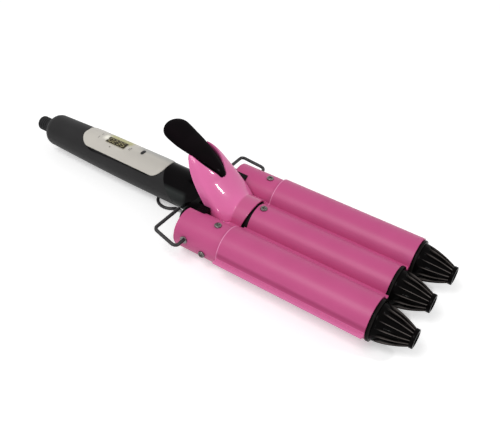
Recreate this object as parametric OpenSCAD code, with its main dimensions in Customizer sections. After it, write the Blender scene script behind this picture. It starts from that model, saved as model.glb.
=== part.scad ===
// Triple-barrel hair waver with a sprung clamp, a folding wire stand and a display in the handle.
// The barrels run along X with the cool tips at +X, Z is up, and the object is symmetric about Y = 0.
// Most places are written from the seam: the rear edge of the wave plate, on the outer barrels' axes.

/* [Barrels] */
// Outer diameter of each barrel
barrel_d = 28; // [24:0.5:32]
// Wall thickness of each barrel tube
barrel_wall = 0.9; // [0.7:0.1:1.3]
// Gap between neighbouring barrels, surface to surface
barrel_gap = 5; // [4:0.5:8]
// Length of the outer barrels in front of the seam
jaw_len = 109; // [90:1:150]
// Length of the outer barrels behind the seam
barrel_tail = 36; // [34:1:38]
// How far the middle barrel's front end stands back
middle_setback = 2.3; // [1:0.1:5]
// How far the middle barrel's rear end stands in front of the seam
middle_start = 1.8; // [1.5:0.1:6]
// How far the middle barrel lies above the outer ones
middle_raise = 0.5; // [0.2:0.1:1]

/* [Cool tips] */
// Length of a tip in front of its barrel
tip_len = 27.6; // [20:0.2:40]
// Thickness of the flange ring that meets the barrel
tip_flange_t = 2.6; // [2:0.1:4]
// How far the flange ring stands out beyond the barrel
tip_flange_lip = 0.5; // [0.2:0.1:0.8]
// Diameter of the small end ring
tip_end_d = 13; // [11:0.5:16]
// Number of fins around a tip
tip_fins = 12; // [8:2:16]
// Thickness of one fin
fin_t = 1.3; // [1:0.1:1.8]
// Length of the spigot inside the barrel
tip_spigot = 8; // [6:0.5:12]

/* [Wave plate] */
// Thickness of the clamp's sheet metal
sheet_t = 0.9; // [0.7:0.1:1.2]
// Gap between the closed wave plate and the outer barrels
jaw_gap = 0.4; // [0.3:0.05:0.8]
// Width of the turned-out lips
lip_w = 3.4; // [2:0.2:5]
// Depth of the lips below the barrel axes
lip_drop = 1.2; // [0.6:0.1:2]
// Height of the two valley strips above the barrel axes
valley_z = 3.9; // [2.5:0.1:5]
// Length of the saddle behind the seam
saddle_len = 15; // [13:0.5:17]

/* [Hood] */
// Height of the hood's rear crown above the barrel axes
hood_h = 41.5; // [39:0.5:44]
// Distance of the rear crown behind the seam
hood_back = 51.5; // [50:0.5:54]
// Height of the hood's lower edges above the barrel axes
hood_foot_z = 7; // [6.8:0.1:9]
// Distance from an outer barrel's axis in to the hood's side
hood_inset = 13.4; // [12.8:0.1:14]
// Distance of the lower rear corners behind the seam
hood_foot_back = 26; // [25:0.5:28]

/* [Thumb lever] */
// Length of the lever along the hood's slope
lever_len = 54.6; // [50:0.2:60]
// Widest part of the lever
lever_w = 24.2; // [20:0.2:27]
// Thickness of the lever
lever_t = 3.4; // [2.6:0.2:4.2]

/* [Handle] */
// Diameter of the handle where it meets the collar
handle_d = 29.4; // [28:0.2:31]
// Diameter of the handle at the cord end
handle_tail_d = 25; // [23:0.5:28]
// Length of the handle's taper towards the cord end
handle_taper = 92; // [60:1:110]
// Height of the handle's axis above the barrel axes
handle_rise = 0.7; // [0:0.1:1.5]
// Length of the matte handle, along its axis
handle_len = 130; // [120:1:150]
// Length of the glossy collar between the handle and the yoke, along its axis
collar_len = 26; // [24:0.5:30]
// Thickness of the yoke that carries the outer barrels
yoke_t = 4; // [3:0.5:5]
// Wall of the handle shells
shell_wall = 2.6; // [2.2:0.1:3.2]
// Rounding of the handle's rear shoulder
shoulder_r = 5.5; // [4:0.5:6.5]

/* [Control panel] */
// Length of the light panel
panel_len = 79; // [76:1:84]
// Width of the light panel, seen from above
panel_w = 25; // [22:0.2:26]
// How far the panel stands out of the shell
panel_proud = 0.6; // [0.2:0.05:0.8]
// Depth of the panel's pocket in the shell
pocket_depth = 1.6; // [1.2:0.1:1.9]
// Length of the display window
display_len = 19; // [13:0.2:20]
// Width of the display window
display_w = 8; // [6:0.2:9.4]
// Width of the display's frame
bezel_w = 1; // [0.8:0.1:1.6]
// Length of the oval power button, across the handle
power_len = 5.2; // [4.5:0.1:7]
// Width of the oval power button
power_w = 2.4; // [2:0.1:3.6]
// Travel of the power button
power_travel = 0.5; // [0.3:0.1:0.7]

/* [Cord gland] */
// Outer diameter of the swivel gland
gland_d = 11.6; // [10:0.2:13]
// Length of the gland behind the handle
gland_len = 14; // [11:0.5:18]
// Diameter of the gland's bore for a cord
cord_bore_d = 6.4; // [5:0.2:7]
// Number of ridges around the gland
gland_ridges = 4; // [2:1:5]

/* [Hinge and spring] */
// Diameter of the hinge pin
pin_d = 4; // [3.4:0.1:4.6]
// Distance of the hinge axis in front of the outer barrels' rear ends
hinge_ahead = 4; // [4:0.5:5]
// Height of the hinge axis above the barrel axes
hinge_z = 5; // [4:0.25:6]
// Diameter of the spring's wire
spring_wire = 1.2; // [0.9:0.1:1.4]
// Mean diameter of the spring's coil
spring_coil_d = 8.2; // [7.6:0.1:8.8]
// Number of turns in the spring
spring_turns = 5; // [4:1:6]

/* [Wire stand] */
// Diameter of the stand's wire
wire_d = 2.5; // [2:0.1:3]
// Distance of the stand's pivots behind the seam
pivot_back = 27; // [25:0.5:29]
// Height of the pivots above the barrel axes
pivot_z = 2; // [0:0.25:3]
// Distance of the stand's crossbar behind the seam
crossbar_back = 47; // [46.5:0.5:50]
// Height of the crossbar above the barrel axes
crossbar_z = 6; // [4:0.25:7]
// Radius of the foot loop under the handle
loop_r = 10.8; // [9.5:0.1:12]
// Distance of the foot loop's centre behind the seam
loop_back = 74.5; // [72:0.5:80]

/* [Clearances] */
// Radial clearance of a running fit
run_gap = 0.05; // [0.03:0.01:0.08]
// Clearance of a part that slides into another
slip_gap = 0.15; // [0.1:0.01:0.2]
// Clearance between faces that seat on each other
seat_gap = 0.1; // [0.05:0.01:0.2]

/* [Hidden] */

// Small distance that makes a cut run past a face, and a size larger than whatever a block cuts
cut = 1;
beyond = 60;
// Smoothness of true round surfaces
fine = 96;
coarse = 32;

// Barrels
barrel_r = barrel_d / 2;
bore_r = barrel_r - barrel_wall;
pitch = barrel_d + barrel_gap;
middle_end = jaw_len - middle_setback;
plug_r = bore_r - run_gap;
plug_wall_t = 5;
plug_bore_r = plug_r - 4;
plug_front = -4;
neck_len = 12;
neck_rim_back = -8;
neck_rim_front = -4.6;
heater_clear = 6;

// Screws
screw_head_r = 2.6;
screw_head_t = 1.4;
screw_shank_r = 1.4;
screw_grip = 4.2;
lever_screw_grip = 3.6;
yoke_screw_grip = 7;
handle_screw_grip = 8;
screw_hole_r = screw_shank_r + seat_gap;
slot_w = 0.8;
slot_len = 3.2;
top_screw_x = -9;
side_screw_x = -12;
side_screw_z = -3;
middle_screw_in = 4.6;

// Cool tips
tip_flange_r = barrel_r + tip_flange_lip;
tip_root_r = barrel_r - 1.2;
tip_core_drop = 2.2;
tip_end_r = tip_end_d / 2;
tip_end_t = 2.6;

// Wave plate
wing_in = barrel_r + jaw_gap;
wing_out = wing_in + sheet_t;
lip_tip = pitch + wing_out + lip_w;
saddle_in = barrel_r + 0.9;
saddle_out = saddle_in + sheet_t;
saddle_top_x = 0.6;
saddle_tilt = 15;
saddle_foot = 3.6;
saddle_low = 1.5;
trough_inset = 2;
trough_low = 6;

// Hood: arcs on the saddle that widen into half ovals and fan out to the open rear rim
hood_power = 2.2;
hood_rear_power = 3.2;
hood_flow = 1.6;
hood_rows = 16;
hood_cols = 24;
hood_t = 1;
hood_press_half = 7;
hood_edge_t = 0.35;
hood_half_w = pitch - hood_inset;
hood_tuck = 0.7;
hood_front_x = -11;
hood_front_r = saddle_out + seat_gap + hood_edge_t;
hood_sweep = acos((hood_foot_z - middle_raise) / hood_front_r);

// Lever: runs up the hood's slope to a round free end
lever_foot = [-27, 28.1];
lever_rise = 0.4425;
lever_bow = 0.023;
lever_peak = 0.835;
lever_dip = 1.6;
lever_rows = 18;
lever_cols = 16;
lever_lift = 1.1;
lever_screw_rows = [lever_foot[0] - 10.4, lever_foot[0] - 19.4];

// Handle, from the yoke's rear face backwards
yoke_front = -barrel_tail - seat_gap;
yoke_back = yoke_front - yoke_t;
yoke_low = 1;
yoke_high = 11;
yoke_mid = (yoke_low + yoke_high) / 2;
yoke_reach = pitch - 3;
handle_front = yoke_back - collar_len;
handle_end = handle_front - handle_len;
handle_r = handle_d / 2;
tail_r = handle_tail_d / 2;
taper_steps = 8;
cut_lean = 37;
end_wall = 2.6;
spigot_len = 12;
lead_bore_r = 3;

// Panel
panel_front = handle_front - 10.5;
panel_back = panel_front - panel_len;
display_x = panel_front - 50.7;
power_x = panel_front - 24.9;
power_y = 0.3;
key_gap = 0.3;
key_proud = 0.4;
lens_drop = 0.5;
board_t = 1.6;
board_z = 4;
board_w = 17;
board_back = panel_back + 6;
board_front = panel_front - 3;
switch_h = 2.6;
button_foot = board_z + board_t + switch_h + power_travel + 0.2;

// Gland
gland_r = gland_d / 2;
gland_neck_r = gland_r - 0.8;
gland_flange_r = gland_r + 1;
gland_flange_t = 2.4;
gland_neck_len = 3.2;
gland_back = handle_end - gland_len;
cord_bore_len = gland_len - 2;

// Hinge
hinge_back = barrel_tail - hinge_ahead;
pin_r = pin_d / 2;
pin_hole_r = pin_r + run_gap;
pin_head_r = pin_r + 1.3;
pin_head_t = 1;
ear_r = 6;
nose_r = handle_r - 0.5;
nose_front = -hinge_back + ear_r;
nose_floor = -6;
spring_slot = 6.2;
slot_back = yoke_back + 1.5;
slot_floor = nose_floor + 2.5;
lug_t = 1.4;
lug_in = nose_r + 0.5;
lug_out = lug_in + lug_t;
lug_r = 3.7;
pin_reach = lug_out + seat_gap;
web_back = nose_front + 1.5;
web_front = web_back + 5;
web_low = hinge_z + ear_r + 0.6;
web_t = 1.2;
arm_in = hood_half_w + 0.4;
arm_out = pitch - 5;
arm_front = -24.6;
arm_high = 13;

// Spring
spring_rings = 8;
spring_sides = 6;
spring_pitch = (2 * spring_slot - 2.4 - spring_wire) / spring_turns;

// Stand
wire_r = wire_d / 2;
pivot_r = wire_r + 0.06;
eyelet_r = pivot_r + 0.9;
eyelet_flange_r = wire_r + 1.5;
eyelet_flange_t = 0.7;
eyelet_depth = 3.4;
stand_side = pitch + barrel_r;
elbow_y = stand_side + 9.2;
corner_y = stand_side + 6.4;
crossbar_in = handle_r + 12.3;
loop_z = handle_rise - handle_r - wire_r - 0.9;
loop_neck_y = handle_r - 7.9;
loop_neck_back = loop_back - 13.5;
loop_turn = asin(loop_neck_y / loop_r);
wire_sides = 8;
bend_r = 3.2;

// Frame: the origin is under the middle of the whole object
front_x = jaw_len + tip_len;
origin_x = -(front_x + gland_back) / 2;
origin_z = -(loop_z - wire_r);

echo(origin = [origin_x, 0, origin_z]);

module placed() {
    translate([origin_x, 0, origin_z]) children();
}

// The frame of the handle, whose axis lies a little above the barrels' axes
module on_handle() {
    placed() translate([0, 0, handle_rise]) children();
}

function mix(a, b, s) = a + (b - a) * s;
function unit(v) = v / norm(v);

// A profile of [radius, x] points turned about the X axis
module turned(points, sides = fine) {
    rotate([0, 90, 0]) rotate_extrude($fn = sides) polygon([for (p = points) [p[0], p[1]]]);
}

module rod_x(radius, from_x, to_x, y = 0, z = 0, sides = fine) {
    translate([from_x, y, z]) rotate([0, 90, 0]) cylinder(r = radius, h = to_x - from_x, $fn = sides);
}

module rod_y(radius, from_y, to_y, x, z, sides = coarse) {
    translate([x, from_y, z]) rotate([-90, 0, 0]) cylinder(r = radius, h = to_y - from_y, $fn = sides);
}

module rod_z(radius, from_z, to_z, x, y, sides = coarse) {
    translate([x, y, from_z]) cylinder(r = radius, h = to_z - from_z, $fn = sides);
}

module block(low, high) {
    translate(low) cube(high - low);
}

// An outline drawn in the Y-Z plane and carried along X
module along_x(from_x, to_x) {
    translate([from_x, 0, 0]) rotate([90, 0, 90]) linear_extrude(to_x - from_x) children();
}

// An outline drawn in the X-Z plane and carried along Y
module along_y(from_y, to_y) {
    translate([0, to_y, 0]) rotate([90, 0, 0]) linear_extrude(to_y - from_y) children();
}

// An outline with round ends, centred and lying along X
module stadium(length, width) {
    for (side = [-1, 1]) translate([side * (length - width) / 2, 0]) circle(width / 2, $fn = 64);
    square([length - width, width], center = true);
}

// Direction of a path at its point k
function ahead(path, k) = unit(path[min(k + 1, len(path) - 1)] - path[max(k - 1, 0)]);

// Side directions along a path, each carried over from the one before so that a tube never twists
function sideways(path, k, last) = k >= len(path) ? [] :
    let (along = ahead(path, k), now = unit(last - (last * along) * along))
    concat([now], sideways(path, k + 1, now));

// Tube along a path, starting with one corner in the direction start
module tube(path, radius, sides, start) {
    across = sideways(path, 0, start);
    skin([for (k = [0:len(path) - 1])
        let (up = cross(across[k], ahead(path, k)))
        [for (s = [0:sides - 1])
            let (a = 360 * s / sides)
            path[k] + radius * (cos(a) * across[k] + sin(a) * up)]]);
}

// Closed skin over rings of equally many points, with a fan at each end
module skin(rings) {
    per = len(rings[0]);
    last = len(rings) - 1;
    points = [for (ring = rings) each ring];
    sides = [for (r = [0:last - 1], k = [0:per - 1])
        let (a = r * per + k, b = r * per + (k + 1) % per, c = b + per, d = a + per)
        each [[a, b, c], [a, c, d]]];
    start = [for (k = [1:per - 2]) [0, k + 1, k]];
    end = [for (k = [1:per - 2]) [last * per, last * per + k, last * per + k + 1]];
    polyhedron(points, concat(start, sides, end), convexity = 8);
}

// Closed sheet between an outer and an inner grid of points, with a rim all round
module sheet(outer, inner) {
    rows = len(outer) - 1;
    cols = len(outer[0]) - 1;
    wide = cols + 1;
    far = (rows + 1) * wide;
    points = concat([for (row = outer) each row], [for (row = inner) each row]);
    faces = [for (r = [0:rows - 1], k = [0:cols - 1])
        let (a = r * wide + k, b = a + 1, c = b + wide, d = a + wide)
        each [[a, c, b], [a, d, c], [far + a, far + b, far + c], [far + a, far + c, far + d]]];
    ends = [for (k = [0:cols - 1])
        let (a = k, b = rows * wide + k, c = far + a, d = far + b)
        each [[a, c + 1, c], [a, a + 1, c + 1], [b, d + 1, b + 1], [b, d, d + 1]]];
    sides = [for (r = [0:rows - 1])
        let (a = r * wide, b = a + cols, c = far + a, d = far + b)
        each [[a, c + wide, a + wide], [a, c, c + wide], [b, d + wide, d], [b, b + wide, d + wide]]];
    polyhedron(points, concat(faces, ends, sides), convexity = 8);
}

// Pan-head screw whose head rests at the origin and looks along +Z
module screw(grip = screw_grip) {
    difference() {
        union() {
            translate([0, 0, -grip]) cylinder(r = screw_shank_r, h = grip + screw_head_t / 2, $fn = coarse);
            cylinder(r = screw_head_r, h = screw_head_t * 0.6, $fn = coarse);
            cylinder(r1 = screw_head_r, r2 = screw_head_r - 0.6, h = screw_head_t, $fn = coarse);
        }
        for (turn = [0, 90]) rotate(turn) translate([-slot_len / 2, -slot_w / 2, screw_head_t * 0.4])
            cube([slot_len, slot_w, screw_head_t]);
    }
}

// ---- Handle ----

// The handle keeps its diameter in front and tapers smoothly towards the cord end
function handle_radius(x) =
    handle_r - (handle_r - tail_r) * pow(max(0, 1 - (x - handle_end) / handle_taper), 1.5);

// Half outline of the handle, grown outwards by a chosen amount
function handle_profile(grow) = concat(
    [[0, handle_end - grow]],
    [for (a = [0:15:75]) [
        handle_radius(handle_end) - shoulder_r + (shoulder_r + grow) * sin(a),
        handle_end + shoulder_r - (shoulder_r + grow) * cos(a)]],
    [for (k = [0:taper_steps])
        let (x = handle_end + shoulder_r + (handle_taper - shoulder_r) * k / taper_steps)
        [handle_radius(x) + grow, x]],
    [[handle_r + grow, handle_front + 20], [0, handle_front + 20]]);

// Everything behind the leaning face between the matte handle and the glossy collar
module behind_collar(gap = 0) {
    translate([handle_front - gap, 0, 0]) rotate([0, -cut_lean, 0])
        translate([-2 * handle_len, -2 * handle_r, -2 * handle_len])
        cube([2 * handle_len, 4 * handle_r, 4 * handle_len]);
}

module handle_body(grow = 0) {
    intersection() {
        turned(handle_profile(grow));
        behind_collar();
    }
}

module handle_shell() {
    difference() {
        handle_body();
        turned(handle_profile(-shell_wall));
        rod_x(gland_neck_r + run_gap, handle_end - cut, handle_end + end_wall + cut);
    }
}

module panel_outline(grow = 0) {
    translate([(panel_front + panel_back) / 2, 0]) stadium(panel_len + 2 * grow, panel_w + 2 * grow);
}

// An outline seen from above and carried up through the handle's top
module above() {
    linear_extrude(beyond) children();
}

module display_outline(grow = 0) {
    translate([display_x, 0]) square([display_len + 2 * grow, display_w + 2 * grow], center = true);
}

module power_outline(grow = 0) {
    translate([power_x, power_y]) rotate(90) stadium(power_len + 2 * grow, power_w + 2 * grow);
}

module handle_upper() {
    color([0.17, 0.17, 0.18]) on_handle() difference() {
        intersection() {
            handle_shell();
            block([handle_end - cut, -beyond, seat_gap / 2], [handle_front + beyond, beyond, beyond]);
        }
        difference() {
            above() panel_outline(slip_gap);
            turned(handle_profile(-pocket_depth));
        }
        above() display_outline(bezel_w + slip_gap);
        above() power_outline(key_gap);
    }
}

screw_rows = [board_back + 12.5, board_front - 20.5];
screw_sink = 3;
post_r = 4.2;
rib_t = 3;
rib_inset = 4;

module handle_lower() {
    color([0.17, 0.17, 0.18]) on_handle() difference() {
        union() {
            intersection() {
                handle_shell();
                block([handle_end - cut, -beyond, -beyond], [handle_front + beyond, beyond, -seat_gap / 2]);
            }
            intersection() {
                union() {
                    for (x = screw_rows) rod_z(post_r, -2 * handle_r, board_z - seat_gap, x, 0);
                    for (x = [board_back + rib_inset, board_front - rib_inset])
                        translate([x, 0, board_z - seat_gap])
                        block([-rib_t / 2, -board_w / 2, -2 * handle_r], [rib_t / 2, board_w / 2, 0]);
                }
                turned(handle_profile(-shell_wall / 2));
            }
        }
        for (x = screw_rows) {
            rod_z(screw_hole_r, -2 * handle_r, board_z - 2, x, 0);
            rod_z(screw_head_r + 0.4, -2 * handle_r, screw_sink - handle_radius(x), x, 0);
        }
    }
}

module handle_screws() {
    color("silver") on_handle()
        for (x = screw_rows) translate([x, 0, screw_sink - handle_radius(x) - seat_gap])
            rotate([180, 0, 0]) screw(handle_screw_grip);
}

// ---- Control panel ----

module control_panel() {
    color([0.77, 0.75, 0.7]) on_handle() difference() {
        intersection() {
            turned(handle_profile(panel_proud));
            above() panel_outline();
            behind_collar(slip_gap);
        }
        turned(handle_profile(seat_gap - pocket_depth));
        above() display_outline(bezel_w + slip_gap);
        above() power_outline(key_gap);
    }
}

module display_bezel() {
    color([0.72, 0.74, 0.35]) on_handle() difference() {
        intersection() {
            turned(handle_profile(panel_proud + 0.1));
            above() display_outline(bezel_w);
        }
        above() display_outline(slip_gap);
        block([display_x - beyond, -beyond, 0], [display_x + beyond, beyond, board_z + board_t + 4.6]);
    }
}

module display_lens() {
    color([0.1, 0.09, 0.05]) on_handle() intersection() {
        turned(handle_profile(panel_proud - lens_drop));
        translate([0, 0, handle_radius(display_x) - 2.4]) above() display_outline();
    }
}

module display_module() {
    color([0.45, 0.5, 0.4]) on_handle()
        block([display_x - display_len / 2 - 1, -display_w / 2 - 1, board_z + board_t + seat_gap],
            [display_x + display_len / 2 + 1, display_w / 2 + 1, board_z + board_t + 4.4]);
}

module circuit_board() {
    color([0.1, 0.35, 0.2]) on_handle()
        block([board_back, -board_w / 2, board_z], [board_front, board_w / 2, board_z + board_t]);
}

module tact_switch() {
    color([0.2, 0.2, 0.2]) on_handle() union() {
        translate([power_x, power_y, board_z + board_t + seat_gap + 0.9])
            cube([4.6, 4.6, 1.8], center = true);
        rod_z(1.2, board_z + board_t + 1, board_z + board_t + switch_h, power_x, power_y);
    }
}

module power_button() {
    color([0.06, 0.06, 0.06]) on_handle() intersection() {
        turned(handle_profile(panel_proud + key_proud));
        translate([0, 0, button_foot]) above() power_outline();
    }
}

// ---- Collar, yoke and hinge ----

// Yoke behind the outer barrels, and the arms that lie along their inner flanks
module yoke() {
    along_x(yoke_back, yoke_front) {
        translate([-yoke_reach, yoke_low]) square([2 * yoke_reach, yoke_high - yoke_low]);
        for (side = [-1, 1]) translate([side * yoke_reach, yoke_mid])
            circle((yoke_high - yoke_low) / 2, $fn = 64);
    }
    for (side = [-1, 1]) mirror([0, side < 0 ? 1 : 0, 0]) along_x(yoke_back + 1, arm_front) difference() {
        translate([arm_in, yoke_low + 3]) square([arm_out - arm_in, arm_high - yoke_low - 3]);
        translate([pitch, 0]) circle(barrel_r + seat_gap, $fn = fine);
    }
}

module front_collar() {
    color([0.05, 0.05, 0.05]) placed() difference() {
        union() {
            translate([0, 0, handle_rise]) difference() {
                turned([
                    [0, handle_front - 30], [handle_r, handle_front - 30],
                    [handle_r, yoke_back - 1.5], [handle_r - 0.4, yoke_back - 0.4],
                    [nose_r, yoke_back], [nose_r, yoke_front], [0, yoke_front]
                ]);
                behind_collar(-seat_gap);
            }
            translate([0, 0, handle_rise]) intersection() {
                rod_x(handle_r - shell_wall - slip_gap, handle_front - 30, handle_front + 15);
                translate([-spigot_len, 0, 0]) difference() {
                    block([handle_front - beyond, -beyond, -beyond], [handle_front + beyond, beyond, beyond]);
                    behind_collar();
                }
                block([board_front + 1, -beyond, -beyond], [handle_front + 15, beyond, beyond]);
            }
            intersection() {
                rod_x(nose_r, yoke_back, nose_front, 0, handle_rise);
                along_y(-handle_r, handle_r) {
                    translate([-hinge_back, hinge_z]) circle(ear_r, $fn = 64);
                    translate([yoke_back, nose_floor])
                        square([-hinge_back - yoke_back, hinge_z + ear_r - nose_floor]);
                    translate([-hinge_back - 1, nose_floor]) square([ear_r + 1, hinge_z - nose_floor]);
                }
            }
            yoke();
        }
        block([slot_back, -spring_slot, slot_floor], [nose_front + cut, spring_slot, 2 * handle_r]);
        rod_y(pin_hole_r, -nose_r - cut, nose_r + cut, -hinge_back, hinge_z);
        rod_x(lead_bore_r, handle_front - beyond, yoke_front, 0, 0, coarse);
        for (side = [-1, 1])
            rod_x(screw_hole_r, yoke_back - cut, yoke_front + cut, side * yoke_reach, yoke_mid, coarse);
    }
}

module yoke_screws() {
    color("silver") placed()
        for (side = [-1, 1]) translate([yoke_back - seat_gap, side * yoke_reach, yoke_mid])
            rotate([0, -90, 0]) screw(yoke_screw_grip);
}

module hinge_pin() {
    color("silver") placed() union() {
        rod_y(pin_r, -pin_reach - pin_head_t / 2, pin_reach + pin_head_t / 2, -hinge_back, hinge_z);
        for (side = [-1, 1]) mirror([0, side < 0 ? 1 : 0, 0])
            rod_y(pin_head_r, pin_reach, pin_reach + pin_head_t, -hinge_back, hinge_z);
    }
}

// Centre line of the spring: a leg on the slot's floor, the coil round the pin, and a leg up to the bracket
function coil_point(turn) = [
    -hinge_back + spring_coil_d / 2 * cos(360 * turn - 90),
    (turn - spring_turns / 2) * spring_pitch,
    hinge_z + spring_coil_d / 2 * sin(360 * turn - 90)
];
coil_rings = spring_turns * spring_rings + 1;
coil_start = coil_point(0);
coil_end = coil_point(coil_rings / spring_rings);
floor_leg = [slot_back + spring_wire, coil_start[1], slot_floor + spring_wire / 2 + seat_gap];
lift_leg = web_low - spring_wire / 2 - seat_gap - coil_end[2];
spring_path = concat(
    [floor_leg, mix(floor_leg, coil_start, 0.5)],
    [for (k = [0:coil_rings]) coil_point(k / spring_rings)],
    [for (s = [0.5, 1]) coil_end + [lift_leg * s, 0, lift_leg * s]]
);

// Least gap between stretches of the wire that are half a turn or more apart
spring_gap = min([for (a = [0:len(spring_path) - 1], b = [0:len(spring_path) - 1])
    if (b - a >= spring_rings / 2) norm(spring_path[a] - spring_path[b])]) - spring_wire;
echo(spring_gap = spring_gap);

module clamp_spring() {
    color("dimgray") placed() tube(spring_path, spring_wire / 2, spring_sides, [0, 1, 0]);
}

// ---- Outer barrels ----

// Cast plug in a barrel's neck, with an end wall that the yoke is screwed to
module plug(side) {
    color([0.5, 0.1, 0.3]) placed() difference() {
        translate([0, side * pitch, 0]) turned([
            [lead_bore_r, -barrel_tail], [plug_r, -barrel_tail],
            [plug_r, plug_front], [plug_bore_r, plug_front],
            [plug_bore_r, plug_wall_t - barrel_tail], [lead_bore_r, plug_wall_t - barrel_tail]
        ]);
        rod_z(screw_hole_r, 0, 2 * barrel_r, top_screw_x, side * pitch);
        rod_x(screw_hole_r, -barrel_tail - cut, -barrel_tail + plug_wall_t - 1,
            side * yoke_reach, yoke_mid, coarse);
        mirror([0, side < 0 ? 1 : 0, 0]) {
            rod_y(eyelet_r + seat_gap, pitch, pitch + 2 * barrel_r, -pivot_back, pivot_z);
            rod_y(screw_hole_r, pitch, pitch + 2 * barrel_r, side_screw_x, side_screw_z);
        }
    }
}

module outer_barrel(side) {
    color([0.86, 0.42, 0.62]) placed() difference() {
        translate([0, side * pitch, 0]) turned([
            [bore_r, -barrel_tail], [barrel_r, -barrel_tail], [barrel_r, jaw_len], [bore_r, jaw_len]
        ]);
        rod_z(screw_hole_r, 0, 2 * barrel_r, top_screw_x, side * pitch);
        mirror([0, side < 0 ? 1 : 0, 0]) {
            rod_y(eyelet_r + seat_gap, pitch, pitch + 2 * barrel_r, -pivot_back, pivot_z);
            rod_y(screw_hole_r, pitch, pitch + 2 * barrel_r, side_screw_x, side_screw_z);
        }
    }
}

module plug_right() { plug(-1); }
module plug_left() { plug(1); }
module barrel_right() { outer_barrel(-1); }
module barrel_left() { outer_barrel(1); }

// Heater: two half-round cores that press a flat heating plate against the barrel's inside
module heater(y, z, from_x, to_x) {
    color([0.75, 0.75, 0.77]) placed() translate([0, y, z]) along_x(from_x, to_x) difference() {
        circle(bore_r - slip_gap, $fn = fine);
        for (side = [-1, 1]) translate([side * bore_r, 0]) square([bore_r * 0.7, bore_r], center = true);
    }
}

module heater_right() { heater(-pitch, 0, heater_clear, jaw_len - tip_spigot - heater_clear); }
module heater_left() { heater(pitch, 0, heater_clear, jaw_len - tip_spigot - heater_clear); }

module heater_middle() {
    heater(0, middle_raise, middle_start + neck_len + heater_clear, middle_end - tip_spigot - heater_clear);
}

// ---- Cool tips ----

// Waisted outline of a tip, from the flange to the small end ring
function tip_radius(t, inset) =
    tip_end_r - inset + (tip_root_r - tip_end_r) * pow(1 - t, 1.25) + (t > 0.9 ? 0 : -0.5 * sin(180 * t));

module cool_tip(y, z, base_x) {
    steps = 12;
    flange = base_x + tip_flange_t;
    ring = base_x + tip_len - tip_end_t;
    core = [for (k = [0:steps]) [tip_radius(k / steps, tip_core_drop), flange + (ring - flange) * k / steps]];
    fins = [for (k = [0:steps]) [tip_radius(k / steps, 0), flange + (ring - flange) * k / steps]];
    color([0.06, 0.06, 0.06]) placed() translate([0, y, z]) difference() {
        union() {
            turned(concat([[0, base_x - tip_spigot], [bore_r - slip_gap, base_x - tip_spigot],
                [bore_r - slip_gap, base_x + seat_gap], [tip_flange_r - 0.4, base_x + seat_gap],
                [tip_flange_r, base_x + 0.5], [tip_flange_r, flange - 0.6], [tip_flange_r - 0.6, flange]],
                core, [[tip_end_r, ring], [tip_end_r, base_x + tip_len - 0.4],
                [tip_end_r - 0.4, base_x + tip_len], [0, base_x + tip_len]]));
            intersection() {
                turned(concat([[0, flange - 0.5]], [[tip_root_r, flange - 0.5]], fins, [[0, ring + 0.5]]));
                for (k = [0:tip_fins / 2 - 1]) rotate([180 * (k + 0.5) / (tip_fins / 2), 0, 0])
                    block([flange - 1, -2 * barrel_r, -fin_t / 2], [ring + 0.4, 2 * barrel_r, fin_t / 2]);
            }
        }
        rod_x(bore_r - 2.4, base_x - tip_spigot - cut, base_x - cut);
        rod_x(tip_end_r - 2, base_x + tip_len - 1.6, base_x + tip_len + cut);
    }
}

module tip_right() { cool_tip(-pitch, 0, jaw_len); }
module tip_left() { cool_tip(pitch, 0, jaw_len); }
module tip_middle() { cool_tip(0, middle_raise, middle_end); }

module top_screws() {
    color("silver") placed()
        for (side = [-1, 1]) translate([top_screw_x, side * pitch, barrel_r + seat_gap]) screw();
}

module side_screws() {
    color("silver") placed()
        for (side = [-1, 1]) mirror([0, side < 0 ? 1 : 0, 0])
            translate([side_screw_x, stand_side + seat_gap, side_screw_z]) rotate([-90, 0, 0]) screw();
}

module stand_eyelets() {
    color("silver") placed() for (side = [-1, 1]) mirror([0, side < 0 ? 1 : 0, 0]) difference() {
        union() {
            rod_y(eyelet_r, stand_side - eyelet_depth, stand_side + seat_gap, -pivot_back, pivot_z);
            rod_y(eyelet_flange_r, stand_side + seat_gap / 2, stand_side + eyelet_flange_t,
                -pivot_back, pivot_z);
        }
        rod_y(pivot_r + run_gap, stand_side - 2 * eyelet_depth, stand_side + 2, -pivot_back, pivot_z);
    }
}

// Trough under the middle barrel, bent up to the two outer barrels
module trough_plate() {
    inner = barrel_r + jaw_gap;
    color([0.86, 0.42, 0.62]) placed() along_x(trough_inset, jaw_len - 2 * trough_inset) difference() {
        translate([-pitch / 2, -2 * barrel_r]) square([pitch, 2 * barrel_r - trough_low]);
        circle(inner, $fn = fine);
        difference() {
            square(4 * barrel_r, center = true);
            circle(inner + sheet_t, $fn = fine);
            for (side = [-1, 1]) translate([side * pitch, 0]) circle(barrel_r + sheet_t, $fn = fine);
        }
        for (side = [-1, 1]) translate([side * pitch, 0]) circle(barrel_r + seat_gap, $fn = fine);
    }
}

// ---- Clamp ----

module wing_outline() {
    for (side = [-1, 1]) difference() {
        translate([side * pitch, 0]) circle(wing_out, $fn = fine);
        translate([side * pitch, 0]) circle(wing_in, $fn = fine);
        translate([side * 2 * pitch, -pitch - lip_drop]) square(2 * pitch, center = true);
        translate([0, -pitch + valley_z - sheet_t / 2]) square(2 * pitch, center = true);
    }
}

module plate_outline() {
    wing_outline();
    for (side = [-1, 1]) {
        translate([side * (lip_tip + pitch + wing_in) / 2, -lip_drop + sheet_t / 2])
            square([lip_tip - pitch - wing_in - 0.2, sheet_t], center = true);
        difference() {
            translate([side * pitch / 2, valley_z]) square([pitch - 2 * 13.2, sheet_t], center = true);
            translate([0, middle_raise]) circle(barrel_r + seat_gap / 2, $fn = fine);
            translate([side * pitch, 0]) circle(wing_in, $fn = fine);
        }
    }
}

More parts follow.
